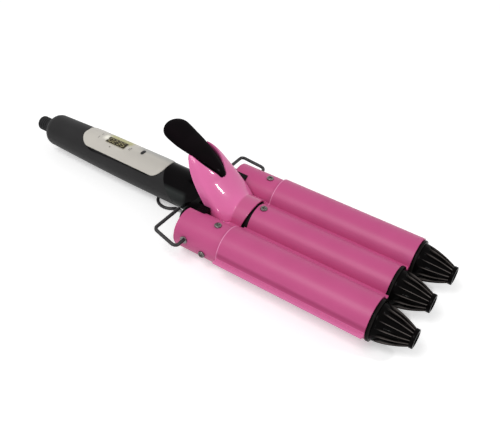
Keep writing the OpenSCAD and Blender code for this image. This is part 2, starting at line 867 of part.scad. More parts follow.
module saddle() {
    intersection() {
        translate([0, 0, middle_raise]) difference() {
            rod_x(saddle_out, -saddle_len, saddle_len);
            rod_x(saddle_in, -saddle_len - cut, saddle_len + cut);
        }
        block([-beyond, -beyond, saddle_low], [beyond, beyond, beyond]);
        translate([saddle_top_x, 0, saddle_out]) rotate([0, saddle_tilt, 0])
            block([-beyond, -beyond, -beyond], [0, beyond, beyond]);
    }
}

module clamp_plate() {
    color([0.8, 0.36, 0.56]) placed() union() {
        difference() {
            along_x(0, jaw_len) plate_outline();
            rod_x(tip_flange_r + seat_gap, middle_end, jaw_len + cut, 0, middle_raise);
        }
        saddle();
        for (side = [-1, 1]) mirror([0, side < 0 ? 1 : 0, 0])
            block([-saddle_foot, saddle_in + 0.2, valley_z - sheet_t / 2],
                [saddle_foot, pitch - wing_in + 0.6, valley_z + sheet_t / 2]);
    }
}

// Centre of the lever at a share of its length, and its underside at a place along X
function lever_spot(t) = [
    lever_foot[0] - lever_len * 0.9 * t,
    lever_foot[1] + lever_lift + lever_len * (lever_rise * t + lever_bow * sin(180 * min(1, 1.5 * t)))
        - lever_dip * pow(max(0, 1 - t / 0.15), 2)
];
function lever_seat(x) = let (t = (lever_foot[0] - 0.225 * lever_t - x) / (0.9 * lever_len))
    lever_spot(max(0, t))[1] - 0.45 * lever_t - 2 * seat_gap + (t < 0 ? -60 * t : 0);

function oval(x, power) = pow(max(x, 0), 2 / power);
function eased(x) = let (u = min(1, max(0, x))) u * u * (3 - 2 * u);

// Half width of the hood's foot: quickly out from the saddle, then slightly in towards the rear rim
function hood_half(s) =
    mix(hood_front_r * sin(hood_sweep), hood_half_w, pow(sin(90 * min(1, s / 0.45)), 0.7))
    - hood_tuck * eased((s - 0.4) / 0.6);

// One section of the hood: s runs from the edge on the saddle (0) to the rear rim (1). Its crown is pressed
// down to the lever's seat, and rises again beside it.
function hood_row(s) = let (
    foot_x = mix(hood_front_x, -hood_foot_back, s),
    crown_x = mix(hood_front_x, -hood_back, s),
    crown_z = mix(middle_raise + hood_front_r, hood_h, pow(sin(90 * s), hood_flow)),
    blend = eased(s / 0.4),
    power = mix(hood_power, hood_rear_power, eased((s - 0.3) / 0.7))
) [for (k = [0:hood_cols])
    let (
        a = -90 + 180 * k / hood_cols,
        turn = a * hood_sweep / 90,
        arc = (cos(turn) - cos(hood_sweep)) / (1 - cos(hood_sweep)),
        lift = mix(arc, oval(cos(a), power), blend),
        side = mix(sin(turn) / sin(hood_sweep), sign(a) * oval(abs(sin(a)), power), blend),
        x = mix(foot_x, crown_x, lift),
        y = hood_half(s) * side,
        press = lever_seat(x) + 0.6 * max(0, abs(y) - hood_press_half)
    )
    [x, y, min(mix(hood_foot_z, crown_z, lift), press)]];
hood_outer = [for (r = [0:hood_rows]) hood_row(r / hood_rows)];

// The hood's grid moved inwards, along its normals
function hood_inward(r, k) = unit(cross(
    hood_outer[min(r + 1, hood_rows)][k] - hood_outer[max(r - 1, 0)][k],
    hood_outer[r][min(k + 1, hood_cols)] - hood_outer[r][max(k - 1, 0)]));
function hood_grid(gap) = [for (r = [0:hood_rows])
    let (depth = mix(hood_edge_t, hood_t, min(1, 4 * r / hood_rows)) + gap)
    [for (k = [0:hood_cols]) hood_outer[r][k] + depth * hood_inward(r, k)]];

// Sheet-metal shell, open below and behind
module clamp_hood() {
    color([0.92, 0.48, 0.7]) placed() difference() {
        sheet(hood_outer, hood_grid(0));
        lever_screw_holes();
    }
}

// Bracket under the hood: two lugs on the hinge pin, joined by a web that fits between the hood's walls
module hinge_bracket() {
    room = hood_grid(seat_gap);
    color([0.08, 0.08, 0.08]) placed() difference() {
        union() {
            for (side = [-1, 1]) mirror([0, side < 0 ? 1 : 0, 0]) along_y(lug_in, lug_out) {
                translate([-hinge_back, hinge_z]) circle(lug_r, $fn = 64);
                polygon([
                    [-hinge_back - lug_r, hinge_z], [-hinge_back + lug_r, hinge_z], [web_front, web_low],
                    [web_front, web_low + web_t], [web_back - 3, web_low + web_t]
                ]);
            }
            intersection() {
                block([web_back, -hood_half_w, web_low], [web_front, hood_half_w, web_low + web_t]);
                skin([for (r = [hood_rows - 2:-1:2]) room[r]]);
            }
        }
        rod_y(pin_hole_r, -lug_out - cut, lug_out + cut, -hinge_back, hinge_z);
    }
}

module middle_barrel() {
    color([0.86, 0.42, 0.62]) placed() difference() {
        translate([0, 0, middle_raise]) turned([
            [bore_r, middle_start], [barrel_r, middle_start], [barrel_r, middle_end], [bore_r, middle_end]
        ]);
        rod_z(screw_hole_r, 0, 2 * barrel_r, middle_start + middle_screw_in, 0);
    }
}

// Neck that carries the middle barrel in the saddle
module middle_neck() {
    color([0.06, 0.06, 0.06]) placed() difference() {
        translate([0, 0, middle_raise]) turned([
            [lead_bore_r, neck_rim_back], [saddle_in - seat_gap, neck_rim_back],
            [saddle_in - seat_gap, neck_rim_front], [plug_r, neck_rim_front],
            [plug_r, middle_start + neck_len], [lead_bore_r, middle_start + neck_len]
        ]);
        rod_z(screw_hole_r, 0, 2 * barrel_r, middle_start + middle_screw_in, 0);
    }
}

module middle_screw() {
    color("silver") placed()
        translate([middle_start + middle_screw_in, 0, barrel_r + middle_raise + seat_gap]) screw();
}

// Half width of the lever at a share of its length: slim over the hood, widest near the free end
function lever_half(t) = t < lever_peak
    ? lever_w / 2 * (0.18 + 0.82 * sin(90 * t / lever_peak))
    : lever_w / 2 * sqrt(max(0.0005, 1 - pow((t - lever_peak) / (1 - lever_peak), 2)));

// Places on the slope under the lever, with Z square to the hood's outer face
module on_lever_seat() {
    for (x = lever_screw_rows) translate([x, 0, lever_seat(x)])
        rotate([0, -atan(lever_seat(x + 0.5) - lever_seat(x - 0.5)), 0]) children();
}

module lever_screw_holes() {
    on_lever_seat() translate([0, 0, -2 * hood_t])
        cylinder(r = screw_hole_r, h = lever_screw_grip + hood_t, $fn = coarse);
}

module thumb_lever() {
    color([0.04, 0.04, 0.04]) placed() difference() {
        skin([for (r = [0:lever_rows]) let (
            t = (1 - cos(180 * r / lever_rows)) / 2, spot = lever_spot(t), half = lever_half(t),
            thick = lever_t * sqrt(max(0.02, 1 - pow(2 * t - 1, 6)))
        ) [for (k = [0:lever_cols - 1]) let (a = 360 * k / lever_cols) [
            spot[0] + 0.45 * thick / 2 * sin(a), half * cos(a), spot[1] + 0.9 * thick / 2 * sin(a)]]]);
        lever_screw_holes();
    }
}

module lever_screws() {
    color("silver") placed() on_lever_seat()
        translate([0, 0, -hood_t - 2 * seat_gap]) rotate([180, 0, 0]) screw(lever_screw_grip);
}

// ---- Wire stand ----

// Points that round a corner between two straight stretches
function corner(a, b, c, r) = let (
    u = unit(a - b), v = unit(c - b),
    half = acos(min(1, max(-1, u * v))) / 2,
    reach = r / tan(half),
    centre = b + unit(u + v) * r / sin(half),
    p = b + u * reach - centre, q = b + v * reach - centre,
    sweep = 180 - 2 * half
) [for (k = [0:4]) centre + (sin(sweep * (1 - k / 4)) * p + sin(sweep * k / 4) * q) / sin(sweep)];

// Half of the stand's centre line, from the pivot to the middle of the foot loop
stand_hard = [
    [-pivot_back, stand_side - eyelet_depth, pivot_z],
    [-pivot_back, elbow_y, pivot_z],
    [-crossbar_back, corner_y, crossbar_z],
    [-crossbar_back, crossbar_in, crossbar_z],
    [-loop_neck_back, loop_neck_y, loop_z],
    [-loop_back + loop_r * cos(loop_turn), loop_neck_y, loop_z]
];

stand_half = concat(
    [stand_hard[0]],
    [for (k = [1:4]) each corner(stand_hard[k - 1], stand_hard[k], stand_hard[k + 1], bend_r)],
    [for (k = [0:10])
        let (a = mix(loop_turn, 172, k / 10))
        [-loop_back + loop_r * cos(a), loop_r * sin(a), loop_z]]
);

stand_other = [for (k = [len(stand_half) - 1:-1:0]) [stand_half[k][0], -stand_half[k][1], stand_half[k][2]]];
stand_path = concat(stand_half, stand_other);

module wire_stand() {
    color([0.1, 0.1, 0.1]) placed() {
        tube(stand_path, wire_r, wire_sides, [0, 0, 1]);
        for (side = [-1, 1]) mirror([0, side < 0 ? 1 : 0, 0])
            rod_y(pivot_r, stand_side - eyelet_depth - 0.2, elbow_y - bend_r, -pivot_back, pivot_z);
    }
}

module cord_gland() {
    ridge_span = gland_len - gland_neck_len - 3;
    step = ridge_span / gland_ridges;
    flange_x = handle_end + end_wall;
    color([0.09, 0.09, 0.09]) on_handle() difference() {
        turned(concat(
            [[0, gland_back], [gland_r - 2, gland_back]],
            [for (a = [15:15:90]) [gland_r - 2 + 2 * sin(a), gland_back + 2 - 2 * cos(a)]],
            [for (k = [0:gland_ridges - 1]) each [
                [gland_r, gland_back + 2.4 + step * k], [gland_r - 0.5, gland_back + 2.6 + step * k],
                [gland_r - 0.5, gland_back + 3 + step * k], [gland_r, gland_back + 3.2 + step * k]]],
            [[gland_r, handle_end - gland_neck_len], [gland_neck_r, handle_end - gland_neck_len + 1.4],
            [gland_neck_r, flange_x + seat_gap], [gland_flange_r, flange_x + seat_gap],
            [gland_flange_r, flange_x + gland_flange_t], [0, flange_x + gland_flange_t]]
        ));
        rod_x(cord_bore_d / 2, gland_back - cut, gland_back + cord_bore_len, 0, 0, 64);
    }
}

handle_upper();
handle_lower();
handle_screws();
control_panel();
display_bezel();
display_lens();
display_module();
circuit_board();
tact_switch();
power_button();
front_collar();
cord_gland();
yoke_screws();
plug_right();
plug_left();
barrel_right();
barrel_left();
heater_right();
heater_left();
tip_right();
tip_left();
top_screws();
side_screws();
trough_plate();
hinge_pin();
clamp_spring();
stand_eyelets();
wire_stand();
clamp_plate();
clamp_hood();
hinge_bracket();
middle_barrel();
middle_neck();
heater_middle();
tip_middle();
middle_screw();
thumb_lever();
lever_screws();
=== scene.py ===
import math

import bpy
import numpy as np
from mathutils import Matrix, Vector


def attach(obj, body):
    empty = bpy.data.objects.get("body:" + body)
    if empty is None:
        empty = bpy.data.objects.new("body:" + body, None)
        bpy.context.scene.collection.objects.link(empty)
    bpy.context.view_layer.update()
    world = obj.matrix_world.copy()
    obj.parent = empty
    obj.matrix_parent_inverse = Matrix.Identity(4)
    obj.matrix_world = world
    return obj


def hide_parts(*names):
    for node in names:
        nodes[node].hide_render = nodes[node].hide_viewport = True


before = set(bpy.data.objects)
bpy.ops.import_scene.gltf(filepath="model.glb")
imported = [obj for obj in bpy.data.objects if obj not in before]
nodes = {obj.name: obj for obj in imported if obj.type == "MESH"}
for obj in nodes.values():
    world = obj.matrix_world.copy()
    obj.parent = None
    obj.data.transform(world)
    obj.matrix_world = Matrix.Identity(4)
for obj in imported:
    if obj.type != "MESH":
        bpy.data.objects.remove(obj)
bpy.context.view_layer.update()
print("frame loaded:", len(nodes), "solids")

# Sizes are in millimetres from the seam, the wave plate's rear edge on the outer barrels' axes,
# as in the part's source
seam = {"shift": (36.75, 0.0, 17.4)}
barrel = {"radius": 14.0, "wall": 0.9, "pitch": 33.0, "front": 109.0, "middleFront": 106.7, "raise": 0.5}


def toRow(points):  # millimetres from the seam, to metres in the row's frame
    return (np.asarray(points, float) + seam["shift"]) / 1000


def mixed(a, b, s):
    return a + (b - a) * s


def smoothStep(x):  # 0 below 0, 1 above 1, and an S between
    x = np.clip(x, 0, 1)
    return x * x * (3 - 2 * x)


def unitRows(v):
    return v / np.maximum(np.linalg.norm(v, axis=-1, keepdims=True), 1e-12)


# One grid of points becomes four-sided faces between neighbours; a cap is a fan round the middle
# of an end row
def gridFaces(grid, first, wrapRows=False, wrapCols=False, capStart=False, capEnd=False):
    rows, cols = grid.shape[:2]
    index = first + np.arange(rows * cols).reshape(rows, cols)
    if wrapRows:
        index = np.concatenate([index, index[:1]])
    if wrapCols:
        index = np.concatenate([index, index[:, :1]], axis=1)
    quads = np.stack([index[:-1, :-1], index[1:, :-1], index[1:, 1:], index[:-1, 1:]], -1).reshape(-1, 4)
    points, fans = grid.reshape(-1, 3), []
    for wanted, ring, row, turn in ((capStart, index[0], grid[0], 1), (capEnd, index[-1], grid[-1], -1)):
        if wanted:
            middle = np.full(len(ring) - 1, first + len(points))
            points = np.vstack([points, row.mean(axis=0)])
            fans.append(np.stack([middle, ring[:-1], ring[1:]][::turn], -1))
    return points, quads, np.vstack(fans) if fans else np.zeros((0, 3), int)


# Six times the volume inside, by the sum of the corner products; it is negative where faces point inwards
def signedVolume(points, quads, tris):
    corners = np.vstack([quads[:, [0, 1, 2]], quads[:, [0, 2, 3]], tris])
    a, b, c = (points[corners[:, k]] for k in range(3))
    return float(np.einsum("ij,ij->i", a, np.cross(b, c)).sum())


# Joins grids, given in millimetres from the seam, into one mesh object. Closed ones are turned to face
# outwards; open ones come with faceOut off.
def makePiece(name, grids, sharpDegrees=35, faceOut=True):
    allPoints, allFaces, count = [], [], 0
    for grid, options in grids:
        points, quads, tris = gridFaces(np.asarray(grid, float), 0, **options)
        if faceOut and signedVolume(points, quads, tris) < 0:
            quads, tris = quads[:, ::-1], tris[:, ::-1]
        allPoints.append(points)
        allFaces += (quads + count).tolist() + (tris + count).tolist()
        count += len(points)
    mesh = bpy.data.meshes.new(name)
    mesh.from_pydata(toRow(np.vstack(allPoints)).tolist(), [], allFaces)
    mesh.shade_smooth()
    mesh.set_sharp_from_angle(angle=math.radians(sharpDegrees))
    piece = bpy.data.objects.new(name, mesh)
    bpy.context.scene.collection.objects.link(piece)
    return piece


# The options of a grid that is closed round its columns, with a cap at each end
capped = {"wrapCols": True, "capStart": True, "capEnd": True}


# A round tube along a path: each ring stands square to the path, with its first side across the
# given direction
def tubeGrid(path, radius, sides, across):
    ahead = unitRows(np.gradient(path, axis=0))
    side = unitRows(np.cross(ahead, np.asarray(across, float)))
    up = np.cross(side, ahead)
    turn = 2 * math.pi * np.arange(sides) / sides
    ring = np.cos(turn)[None, :, None] * side[:, None] + np.sin(turn)[None, :, None] * up[:, None]
    return path[:, None] + radius * ring


def newGroup(name, inputs, outputs):
    group = bpy.data.node_groups.new(name, "ShaderNodeTree")
    for socketName, kind, value in inputs:
        socket = group.interface.new_socket(socketName, in_out="INPUT", socket_type=kind)
        socket.default_value = value
    for socketName, kind in outputs:
        group.interface.new_socket(socketName, in_out="OUTPUT", socket_type=kind)
    return group, group.nodes.new("NodeGroupInput"), group.nodes.new("NodeGroupOutput")


# The Mix node's sockets by number, because those for numbers and for colours share their names
mixSocket = {"numberA": 2, "numberB": 3, "number": 0, "colourA": 6, "colourB": 7, "colour": 2}


# Slow change of tone: two scales of noise blend a colour towards its second shade
def toneGroup():
    inputs = [("Color A", "NodeSocketColor", (1, 1, 1, 1)),
              ("Color B", "NodeSocketColor", (0.5, 0.5, 0.5, 1)), ("Scale", "NodeSocketFloat", 60.0)]
    group, given, out = newGroup("slowTone", inputs, [("Color", "NodeSocketColor")])
    place = group.nodes.new("ShaderNodeTexCoord")
    noise = group.nodes.new("ShaderNodeTexNoise")
    noise.inputs["Detail"].default_value = 4
    spread = group.nodes.new("ShaderNodeMapRange")
    spread.inputs["From Min"].default_value, spread.inputs["From Max"].default_value = 0.35, 0.65
    blend = group.nodes.new("ShaderNodeMix")
    blend.data_type = "RGBA"
    link = group.links.new
    link(place.outputs["Object"], noise.inputs["Vector"])
    link(given.outputs["Scale"], noise.inputs["Scale"])
    link(noise.outputs["Fac"], spread.inputs["Value"])
    link(spread.outputs["Result"], blend.inputs["Factor"])
    link(given.outputs["Color A"], blend.inputs[mixSocket["colourA"]])
    link(given.outputs["Color B"], blend.inputs[mixSocket["colourB"]])
    link(blend.outputs[mixSocket["colour"]], out.inputs["Color"])
    return group


# Surface grain: fine noise over a coarser one, as a height, and a roughness that follows hand marks
def grainGroup():
    inputs = [("Scale", "NodeSocketFloat", 1200.0), ("Coarse Share", "NodeSocketFloat", 0.3),
              ("Rough", "NodeSocketFloat", 0.4), ("Rough Spread", "NodeSocketFloat", 0.06)]
    group, given, out = newGroup("surfaceGrain", inputs,
                                 [("Height", "NodeSocketFloat"), ("Roughness", "NodeSocketFloat")])
    place = group.nodes.new("ShaderNodeTexCoord")
    fine, coarse, hand = (group.nodes.new("ShaderNodeTexNoise") for _ in range(3))
    quarter, blend = group.nodes.new("ShaderNodeMath"), group.nodes.new("ShaderNodeMix")
    quarter.operation = "MULTIPLY"
    quarter.inputs[1].default_value = 0.22
    hand.inputs["Scale"].default_value = 42
    hand.inputs["Detail"].default_value = 6
    hand.inputs["Distortion"].default_value = 0.8
    fine.inputs["Detail"].default_value = 2
    spread = group.nodes.new("ShaderNodeMath")
    spread.operation = "MULTIPLY_ADD"
    centred = group.nodes.new("ShaderNodeMath")
    centred.operation = "SUBTRACT"
    centred.inputs[1].default_value = 0.5
    link = group.links.new
    for noise in (fine, coarse, hand):
        link(place.outputs["Object"], noise.inputs["Vector"])
    link(given.outputs["Scale"], fine.inputs["Scale"])
    link(given.outputs["Scale"], quarter.inputs[0])
    link(quarter.outputs[0], coarse.inputs["Scale"])
    link(given.outputs["Coarse Share"], blend.inputs["Factor"])
    link(fine.outputs["Fac"], blend.inputs[mixSocket["numberA"]])
    link(coarse.outputs["Fac"], blend.inputs[mixSocket["numberB"]])
    link(blend.outputs[mixSocket["number"]], out.inputs["Height"])
    link(hand.outputs["Fac"], centred.inputs[0])
    link(centred.outputs[0], spread.inputs[0])
    link(given.outputs["Rough Spread"], spread.inputs[1])
    link(given.outputs["Rough"], spread.inputs[2])
    link(spread.outputs[0], out.inputs["Roughness"])
    return group


# A soft box in the piece's own space: 1 inside its two corners, fading to 0 over a width along each axis
def boxGroup():
    inputs = [("Low", "NodeSocketVector", (0, 0, 0)), ("High", "NodeSocketVector", (0, 0, 0)),
              ("Fade", "NodeSocketFloat", 0.001)]
    group, given, out = newGroup("softBox", inputs, [("Mask", "NodeSocketFloat")])
    link = group.links.new

    def vectorStep(operation, a, b):
        step = group.nodes.new("ShaderNodeVectorMath")
        step.operation = operation
        link(a, step.inputs[0])
        if b is not None:
            link(b, step.inputs["Scale" if operation == "SCALE" else 1])
        return step

    place = group.nodes.new("ShaderNodeTexCoord").outputs["Object"]
    inverse = group.nodes.new("ShaderNodeMath")
    inverse.operation = "DIVIDE"
    inverse.inputs[0].default_value = 1
    link(given.outputs["Fade"], inverse.inputs[1])
    sides = []
    for a, b in ((place, given.outputs["Low"]), (given.outputs["High"], place)):
        scaled = vectorStep("SCALE", vectorStep("SUBTRACT", a, b).outputs[0], inverse.outputs[0])
        above = vectorStep("MAXIMUM", scaled.outputs[0], None)
        above.inputs[1].default_value = (0, 0, 0)
        within = vectorStep("MINIMUM", above.outputs[0], None)
        within.inputs[1].default_value = (1, 1, 1)
        sides.append(within.outputs[0])
    split = group.nodes.new("ShaderNodeSeparateXYZ")
    link(vectorStep("MULTIPLY", *sides).outputs[0], split.inputs[0])
    first, second = group.nodes.new("ShaderNodeMath"), group.nodes.new("ShaderNodeMath")
    first.operation = second.operation = "MULTIPLY"
    link(split.outputs[0], first.inputs[0])
    link(split.outputs[1], first.inputs[1])
    link(first.outputs[0], second.inputs[0])
    link(split.outputs[2], second.inputs[1])
    link(second.outputs[0], out.inputs["Mask"])
    return group


slowTone, surfaceGrain, softBox = toneGroup(), grainGroup(), boxGroup()


# Blends a colour over a finish by a mask
def layer(material, mask, colour, amount):
    tree = material.node_tree
    socket = tree.nodes["Principled BSDF"].inputs["Base Color"]
    below = socket.links[0].from_socket
    blend, share = tree.nodes.new("ShaderNodeMix"), tree.nodes.new("ShaderNodeMath")
    share.operation = "MULTIPLY"
    share.inputs[1].default_value = amount
    blend.data_type = "RGBA"
    blend.inputs[mixSocket["colourB"]].default_value = (*colour, 1)
    tree.links.new(mask, share.inputs[0])
    tree.links.new(share.outputs[0], blend.inputs["Factor"])
    tree.links.new(below, blend.inputs[mixSocket["colourA"]])
    tree.links.new(blend.outputs[mixSocket["colour"]], socket)


# A layer inside a soft box whose corners are in millimetres from the seam
def patch(material, low, high, fade, colour, amount):
    box = material.node_tree.nodes.new("ShaderNodeGroup")
    box.node_tree = softBox
    box.inputs["Low"].default_value, box.inputs["High"].default_value = toRow(low), toRow(high)
    box.inputs["Fade"].default_value = fade / 1000
    layer(material, box.outputs["Mask"], colour, amount)


# A layer where a piece's own mark, stored with its points, is 1
def markLayer(material, mark, colour, amount):
    stored = material.node_tree.nodes.new("ShaderNodeAttribute")
    stored.attribute_name = mark
    layer(material, stored.outputs["Fac"], colour, amount)


# Stores a value from 0 to 1 with each point of a piece's first grid; the points after it get 0
def storeMark(piece, mark, values):
    flat = np.zeros(len(piece.data.vertices), np.float32)
    flat[:values.size] = values.ravel()
    piece.data.attributes.new(mark, "FLOAT", "POINT").data.foreach_set("value", flat)


# One finish: two close shades, grain and hand marks; what is the same all over is set on the shader itself
def finish(name, shade, second, rough, spread, grain, coarse, bump, tone, plain):
    material = bpy.data.materials.new(name)
    material.use_nodes = True
    tree = material.node_tree
    shader = tree.nodes["Principled BSDF"]
    tones, texture = tree.nodes.new("ShaderNodeGroup"), tree.nodes.new("ShaderNodeGroup")
    tones.node_tree, texture.node_tree = slowTone, surfaceGrain
    tones.inputs["Color A"].default_value = (*shade, 1)
    tones.inputs["Color B"].default_value = (*second, 1)
    tones.inputs["Scale"].default_value = tone
    texture.inputs["Scale"].default_value = grain
    texture.inputs["Coarse Share"].default_value = coarse
    texture.inputs["Rough"].default_value = rough
    texture.inputs["Rough Spread"].default_value = spread
    relief = tree.nodes.new("ShaderNodeBump")
    relief.inputs["Strength"].default_value = 1.0
    relief.inputs["Distance"].default_value = bump / 1000
    tree.links.new(tones.outputs["Color"], shader.inputs["Base Color"])
    tree.links.new(texture.outputs["Roughness"], shader.inputs["Roughness"])
    tree.links.new(texture.outputs["Height"], relief.inputs["Height"])
    tree.links.new(relief.outputs["Normal"], shader.inputs["Normal"])
    for key, value in plain.items():
        shader.inputs[key].default_value = value
    return material


# Each finish has its two shades, then roughness and its spread, grain scale, share of coarse grain, bump in
# millimetres and tone scale, and then what is set on the shader itself
finishRows = {
    "pinkCoating": ((0.55, 0.085, 0.24), (0.525, 0.078, 0.225),
                    (0.42, 0.05, 1500, 0.4, 0.006, 45), {"Specular IOR Level": 0.3}),
    "plateCoating": ((0.55, 0.085, 0.24), (0.525, 0.078, 0.225),
                     (0.4, 0.05, 1500, 0.4, 0.006, 45), {"Specular IOR Level": 0.3}),
    "pinkGloss": ((0.76, 0.155, 0.39), (0.735, 0.145, 0.37), (0.34, 0.04, 500, 0.7, 0.002, 60),
                  {"Specular IOR Level": 0.25, "Coat Weight": 0.4, "Coat Roughness": 0.07}),
    "handleMatte": ((0.0115, 0.011, 0.0115), (0.008, 0.0075, 0.008),
                    (0.56, 0.08, 2600, 0.25, 0.03, 50), {"Specular IOR Level": 0.25}),
    "collarGloss": ((0.0025, 0.002, 0.0025), (0.004, 0.003, 0.0035),
                    (0.1, 0.04, 300, 0.5, 0.002, 70), {"Specular IOR Level": 0.04}),
    "leverGloss": ((0.0025, 0.0015, 0.002), (0.004, 0.002, 0.003),
                   (0.16, 0.06, 300, 0.5, 0.003, 70), {"Specular IOR Level": 0.025}),
    "tipGloss": ((0.0025, 0.0022, 0.0022), (0.003, 0.0026, 0.0026),
                 (0.15, 0.05, 400, 0.5, 0.002, 70), {"Specular IOR Level": 0.02}),
    "panelSatin": ((0.6, 0.57, 0.515), (0.57, 0.54, 0.49), (0.42, 0.06, 1800, 0.3, 0.006, 60),
                   {"Specular IOR Level": 0.35, "Coat Weight": 0.15, "Coat Roughness": 0.15}),
    "buttonBlack": ((0.008, 0.008, 0.008), (0.012, 0.012, 0.012),
                    (0.3, 0.05, 1500, 0.3, 0.01, 200), {"Specular IOR Level": 0.2}),
    "glandRubber": ((0.014, 0.014, 0.015), (0.02, 0.02, 0.021),
                    (0.6, 0.08, 2000, 0.4, 0.03, 150), {"Specular IOR Level": 0.2}),
    "insertBlack": ((0.006, 0.005, 0.006), (0.009, 0.008, 0.009),
                    (0.5, 0.08, 1500, 0.4, 0.02, 90), {"Specular IOR Level": 0.15}),
    "bracketBlack": ((0.006, 0.006, 0.006), (0.01, 0.01, 0.01),
                     (0.38, 0.08, 900, 0.4, 0.02, 90), {"Specular IOR Level": 0.2}),
    "screwSteel": ((0.2, 0.185, 0.175), (0.12, 0.11, 0.105),
                   (0.24, 0.1, 1600, 0.4, 0.012, 400), {"Metallic": 1.0}),
    "springSteel": ((0.24, 0.24, 0.25), (0.17, 0.17, 0.18),
                    (0.35, 0.1, 1600, 0.4, 0.01, 300), {"Metallic": 1.0}),
    "eyeletAlloy": ((0.24, 0.22, 0.22), (0.17, 0.16, 0.16),
                    (0.34, 0.1, 1600, 0.4, 0.012, 400), {"Metallic": 1.0}),
    "heaterAlloy": ((0.5, 0.5, 0.52), (0.42, 0.42, 0.44),
                    (0.42, 0.1, 1100, 0.5, 0.03, 90), {"Metallic": 1.0}),
    "wireBlack": ((0.02, 0.019, 0.021), (0.03, 0.028, 0.03),
                  (0.34, 0.08, 1500, 0.4, 0.01, 120), {"Specular IOR Level": 0.3}),
    "boardGreen": ((0.02, 0.16, 0.06), (0.015, 0.12, 0.045), (0.35, 0.06, 1500, 0.4, 0.01, 120), {}),
    "moduleGrey": ((0.1, 0.11, 0.09), (0.08, 0.09, 0.07), (0.5, 0.06, 1500, 0.4, 0.01, 120), {}),
    "displayDark": ((0.022, 0.017, 0.008), (0.03, 0.022, 0.01),
                    (0.2, 0.03, 500, 0.4, 0.001, 200), {"Specular IOR Level": 0.15}),
    "markGrey": ((0.2, 0.19, 0.17), (0.26, 0.245, 0.22),
                 (0.5, 0.05, 900, 0.4, 0.002, 300), {"Specular IOR Level": 0.2}),
    "digitCream": ((0.34, 0.3, 0.16), (0.27, 0.235, 0.11),
                   (0.5, 0.05, 900, 0.4, 0.002, 300), {"Specular IOR Level": 0.2}),
    "bezelTint": ((0.42, 0.39, 0.31), (0.38, 0.35, 0.27),
                  (0.35, 0.04, 900, 0.4, 0.003, 200), {"Specular IOR Level": 0.3}),
}
finishes = {name: finish(name, *shades, *feel, plain) for name, (*shades, feel, plain) in finishRows.items()}

# Tints inside soft boxes: the finish, two corners, the fade, the colour and its share. In order they are the
# display's painted glow, the painted highlight at its white end, the collar's painted grey reflection, the
# panel's painted shade on its far facet, the painted glow on the display's frame, and the barrels' pink on
# the hood's skin over the saddle.
paintedLightAndTints = (
    ("panelSatin", (-139, -1.0, 0), (-113, 10.0, 30), 3.6, (0.46, 0.44, 0.13), 0.8),
    ("panelSatin", (-140.5, -3.6, 0), (-132.5, 4.2, 30), 2.4, (1.0, 0.97, 0.86), 0.95),
    ("collarGloss", (-80, -17, -20), (-50.5, -8, 9), 3.2, (0.034, 0.038, 0.037), 1.0),
    ("panelSatin", (-110, 0.0, 0), (-70, 20, 30), 6.0, (0.33, 0.33, 0.31), 0.9),
    ("bezelTint", (-140, 1.0, 0), (-114, 9.5, 30), 1.5, (0.4, 0.38, 0.12), 0.6),
    ("pinkGloss", (-11.2, -30, -10), (8, 30, 40), 1.4, (0.56, 0.088, 0.245), 1.0),
)
for tinted, low, high, fade, colour, amount in paintedLightAndTints:
    patch(finishes[tinted], low, high, fade, colour, amount)

# Painted light and shade on the plate's edges on both sides: reach in Y, X and Z ranges, fade, colour and its
# share
plateEdgeLightAndShade = {
    # a painted highlight along the rear rim's edge
    "rim": ((16.6, 56), (-0.2, 0.75), (-16, 16), 0.25, (0.8, 0.3, 0.52), 0.75),
    # painted light on the lips, which face up
    "lip": ((47.2, 56), (-1, 120), (-3, 1.7), 0.6, (0.74, 0.2, 0.42), 0.85),
    # painted shade in the grooves over the lips
    "grooveShade": ((43.5, 49.5), (-1, 120), (0.9, 6.0), 2.0, (0.3, 0.018, 0.1), 0.75),
}
for reach, along, height, fade, colour, amount in plateEdgeLightAndShade.values():
    for side in (-1, 1):
        near, far = sorted(side * y for y in reach)
        low, high = ((along[k], (near, far)[k], height[k]) for k in (0, 1))
        patch(finishes["plateCoating"], low, high, fade, colour, amount)
# The pressed pit beside the lever is painted near black, as painted shade in the recess
markLayer(finishes["pinkGloss"], "shadedPit", (0.004, 0.003, 0.0035), 1.0)
# Painted highlights: the fins' crests and the flange's edge are lightened as glints
markLayer(finishes["tipGloss"], "crest", (0.15, 0.13, 0.122), 0.7)
print("finishes:", len(finishes))

nodeFinish = {
    "handleMatte": ["handle_upper", "handle_lower"],
    "screwSteel": ["handle_screws", "yoke_screws", "top_screws", "side_screws", "middle_screw",
                   "lever_screws", "hinge_pin"],
    "panelSatin": ["control_panel"], "bezelTint": ["display_bezel"], "displayDark": ["display_lens"],
    "moduleGrey": ["display_module"], "boardGreen": ["circuit_board"],
    "buttonBlack": ["tact_switch", "power_button"], "collarGloss": ["front_collar"],
    "glandRubber": ["cord_gland"], "insertBlack": ["plug_right", "plug_left", "middle_neck"],
    "pinkCoating": ["barrel_right", "barrel_left", "middle_barrel", "trough_plate"],
    "plateCoating": ["clamp_plate"], "heaterAlloy": ["heater_right", "heater_left", "heater_middle"],
    "tipGloss": ["tip_right", "tip_left", "tip_middle"], "springSteel": ["clamp_spring"],
    "eyeletAlloy": ["stand_eyelets"], "wireBlack": ["wire_stand"], "pinkGloss": ["clamp_hood"],
    "bracketBlack": ["hinge_bracket"], "leverGloss": ["thumb_lever"],
}
for finishName, names in nodeFinish.items():
    for name in names:
        for place in nodes[name].material_slots:
            place.material = finishes[finishName]


# Gives a finished piece its material and body, and hides the solids that it stands for
def dress(piece, finishName, body, slot, *replaced):
    piece.data.materials.append(finishes[finishName])
    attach(piece, body)
    if replaced:
        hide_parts(*replaced)
    print("piece:", piece.name, len(piece.data.polygons), "faces")
    return piece


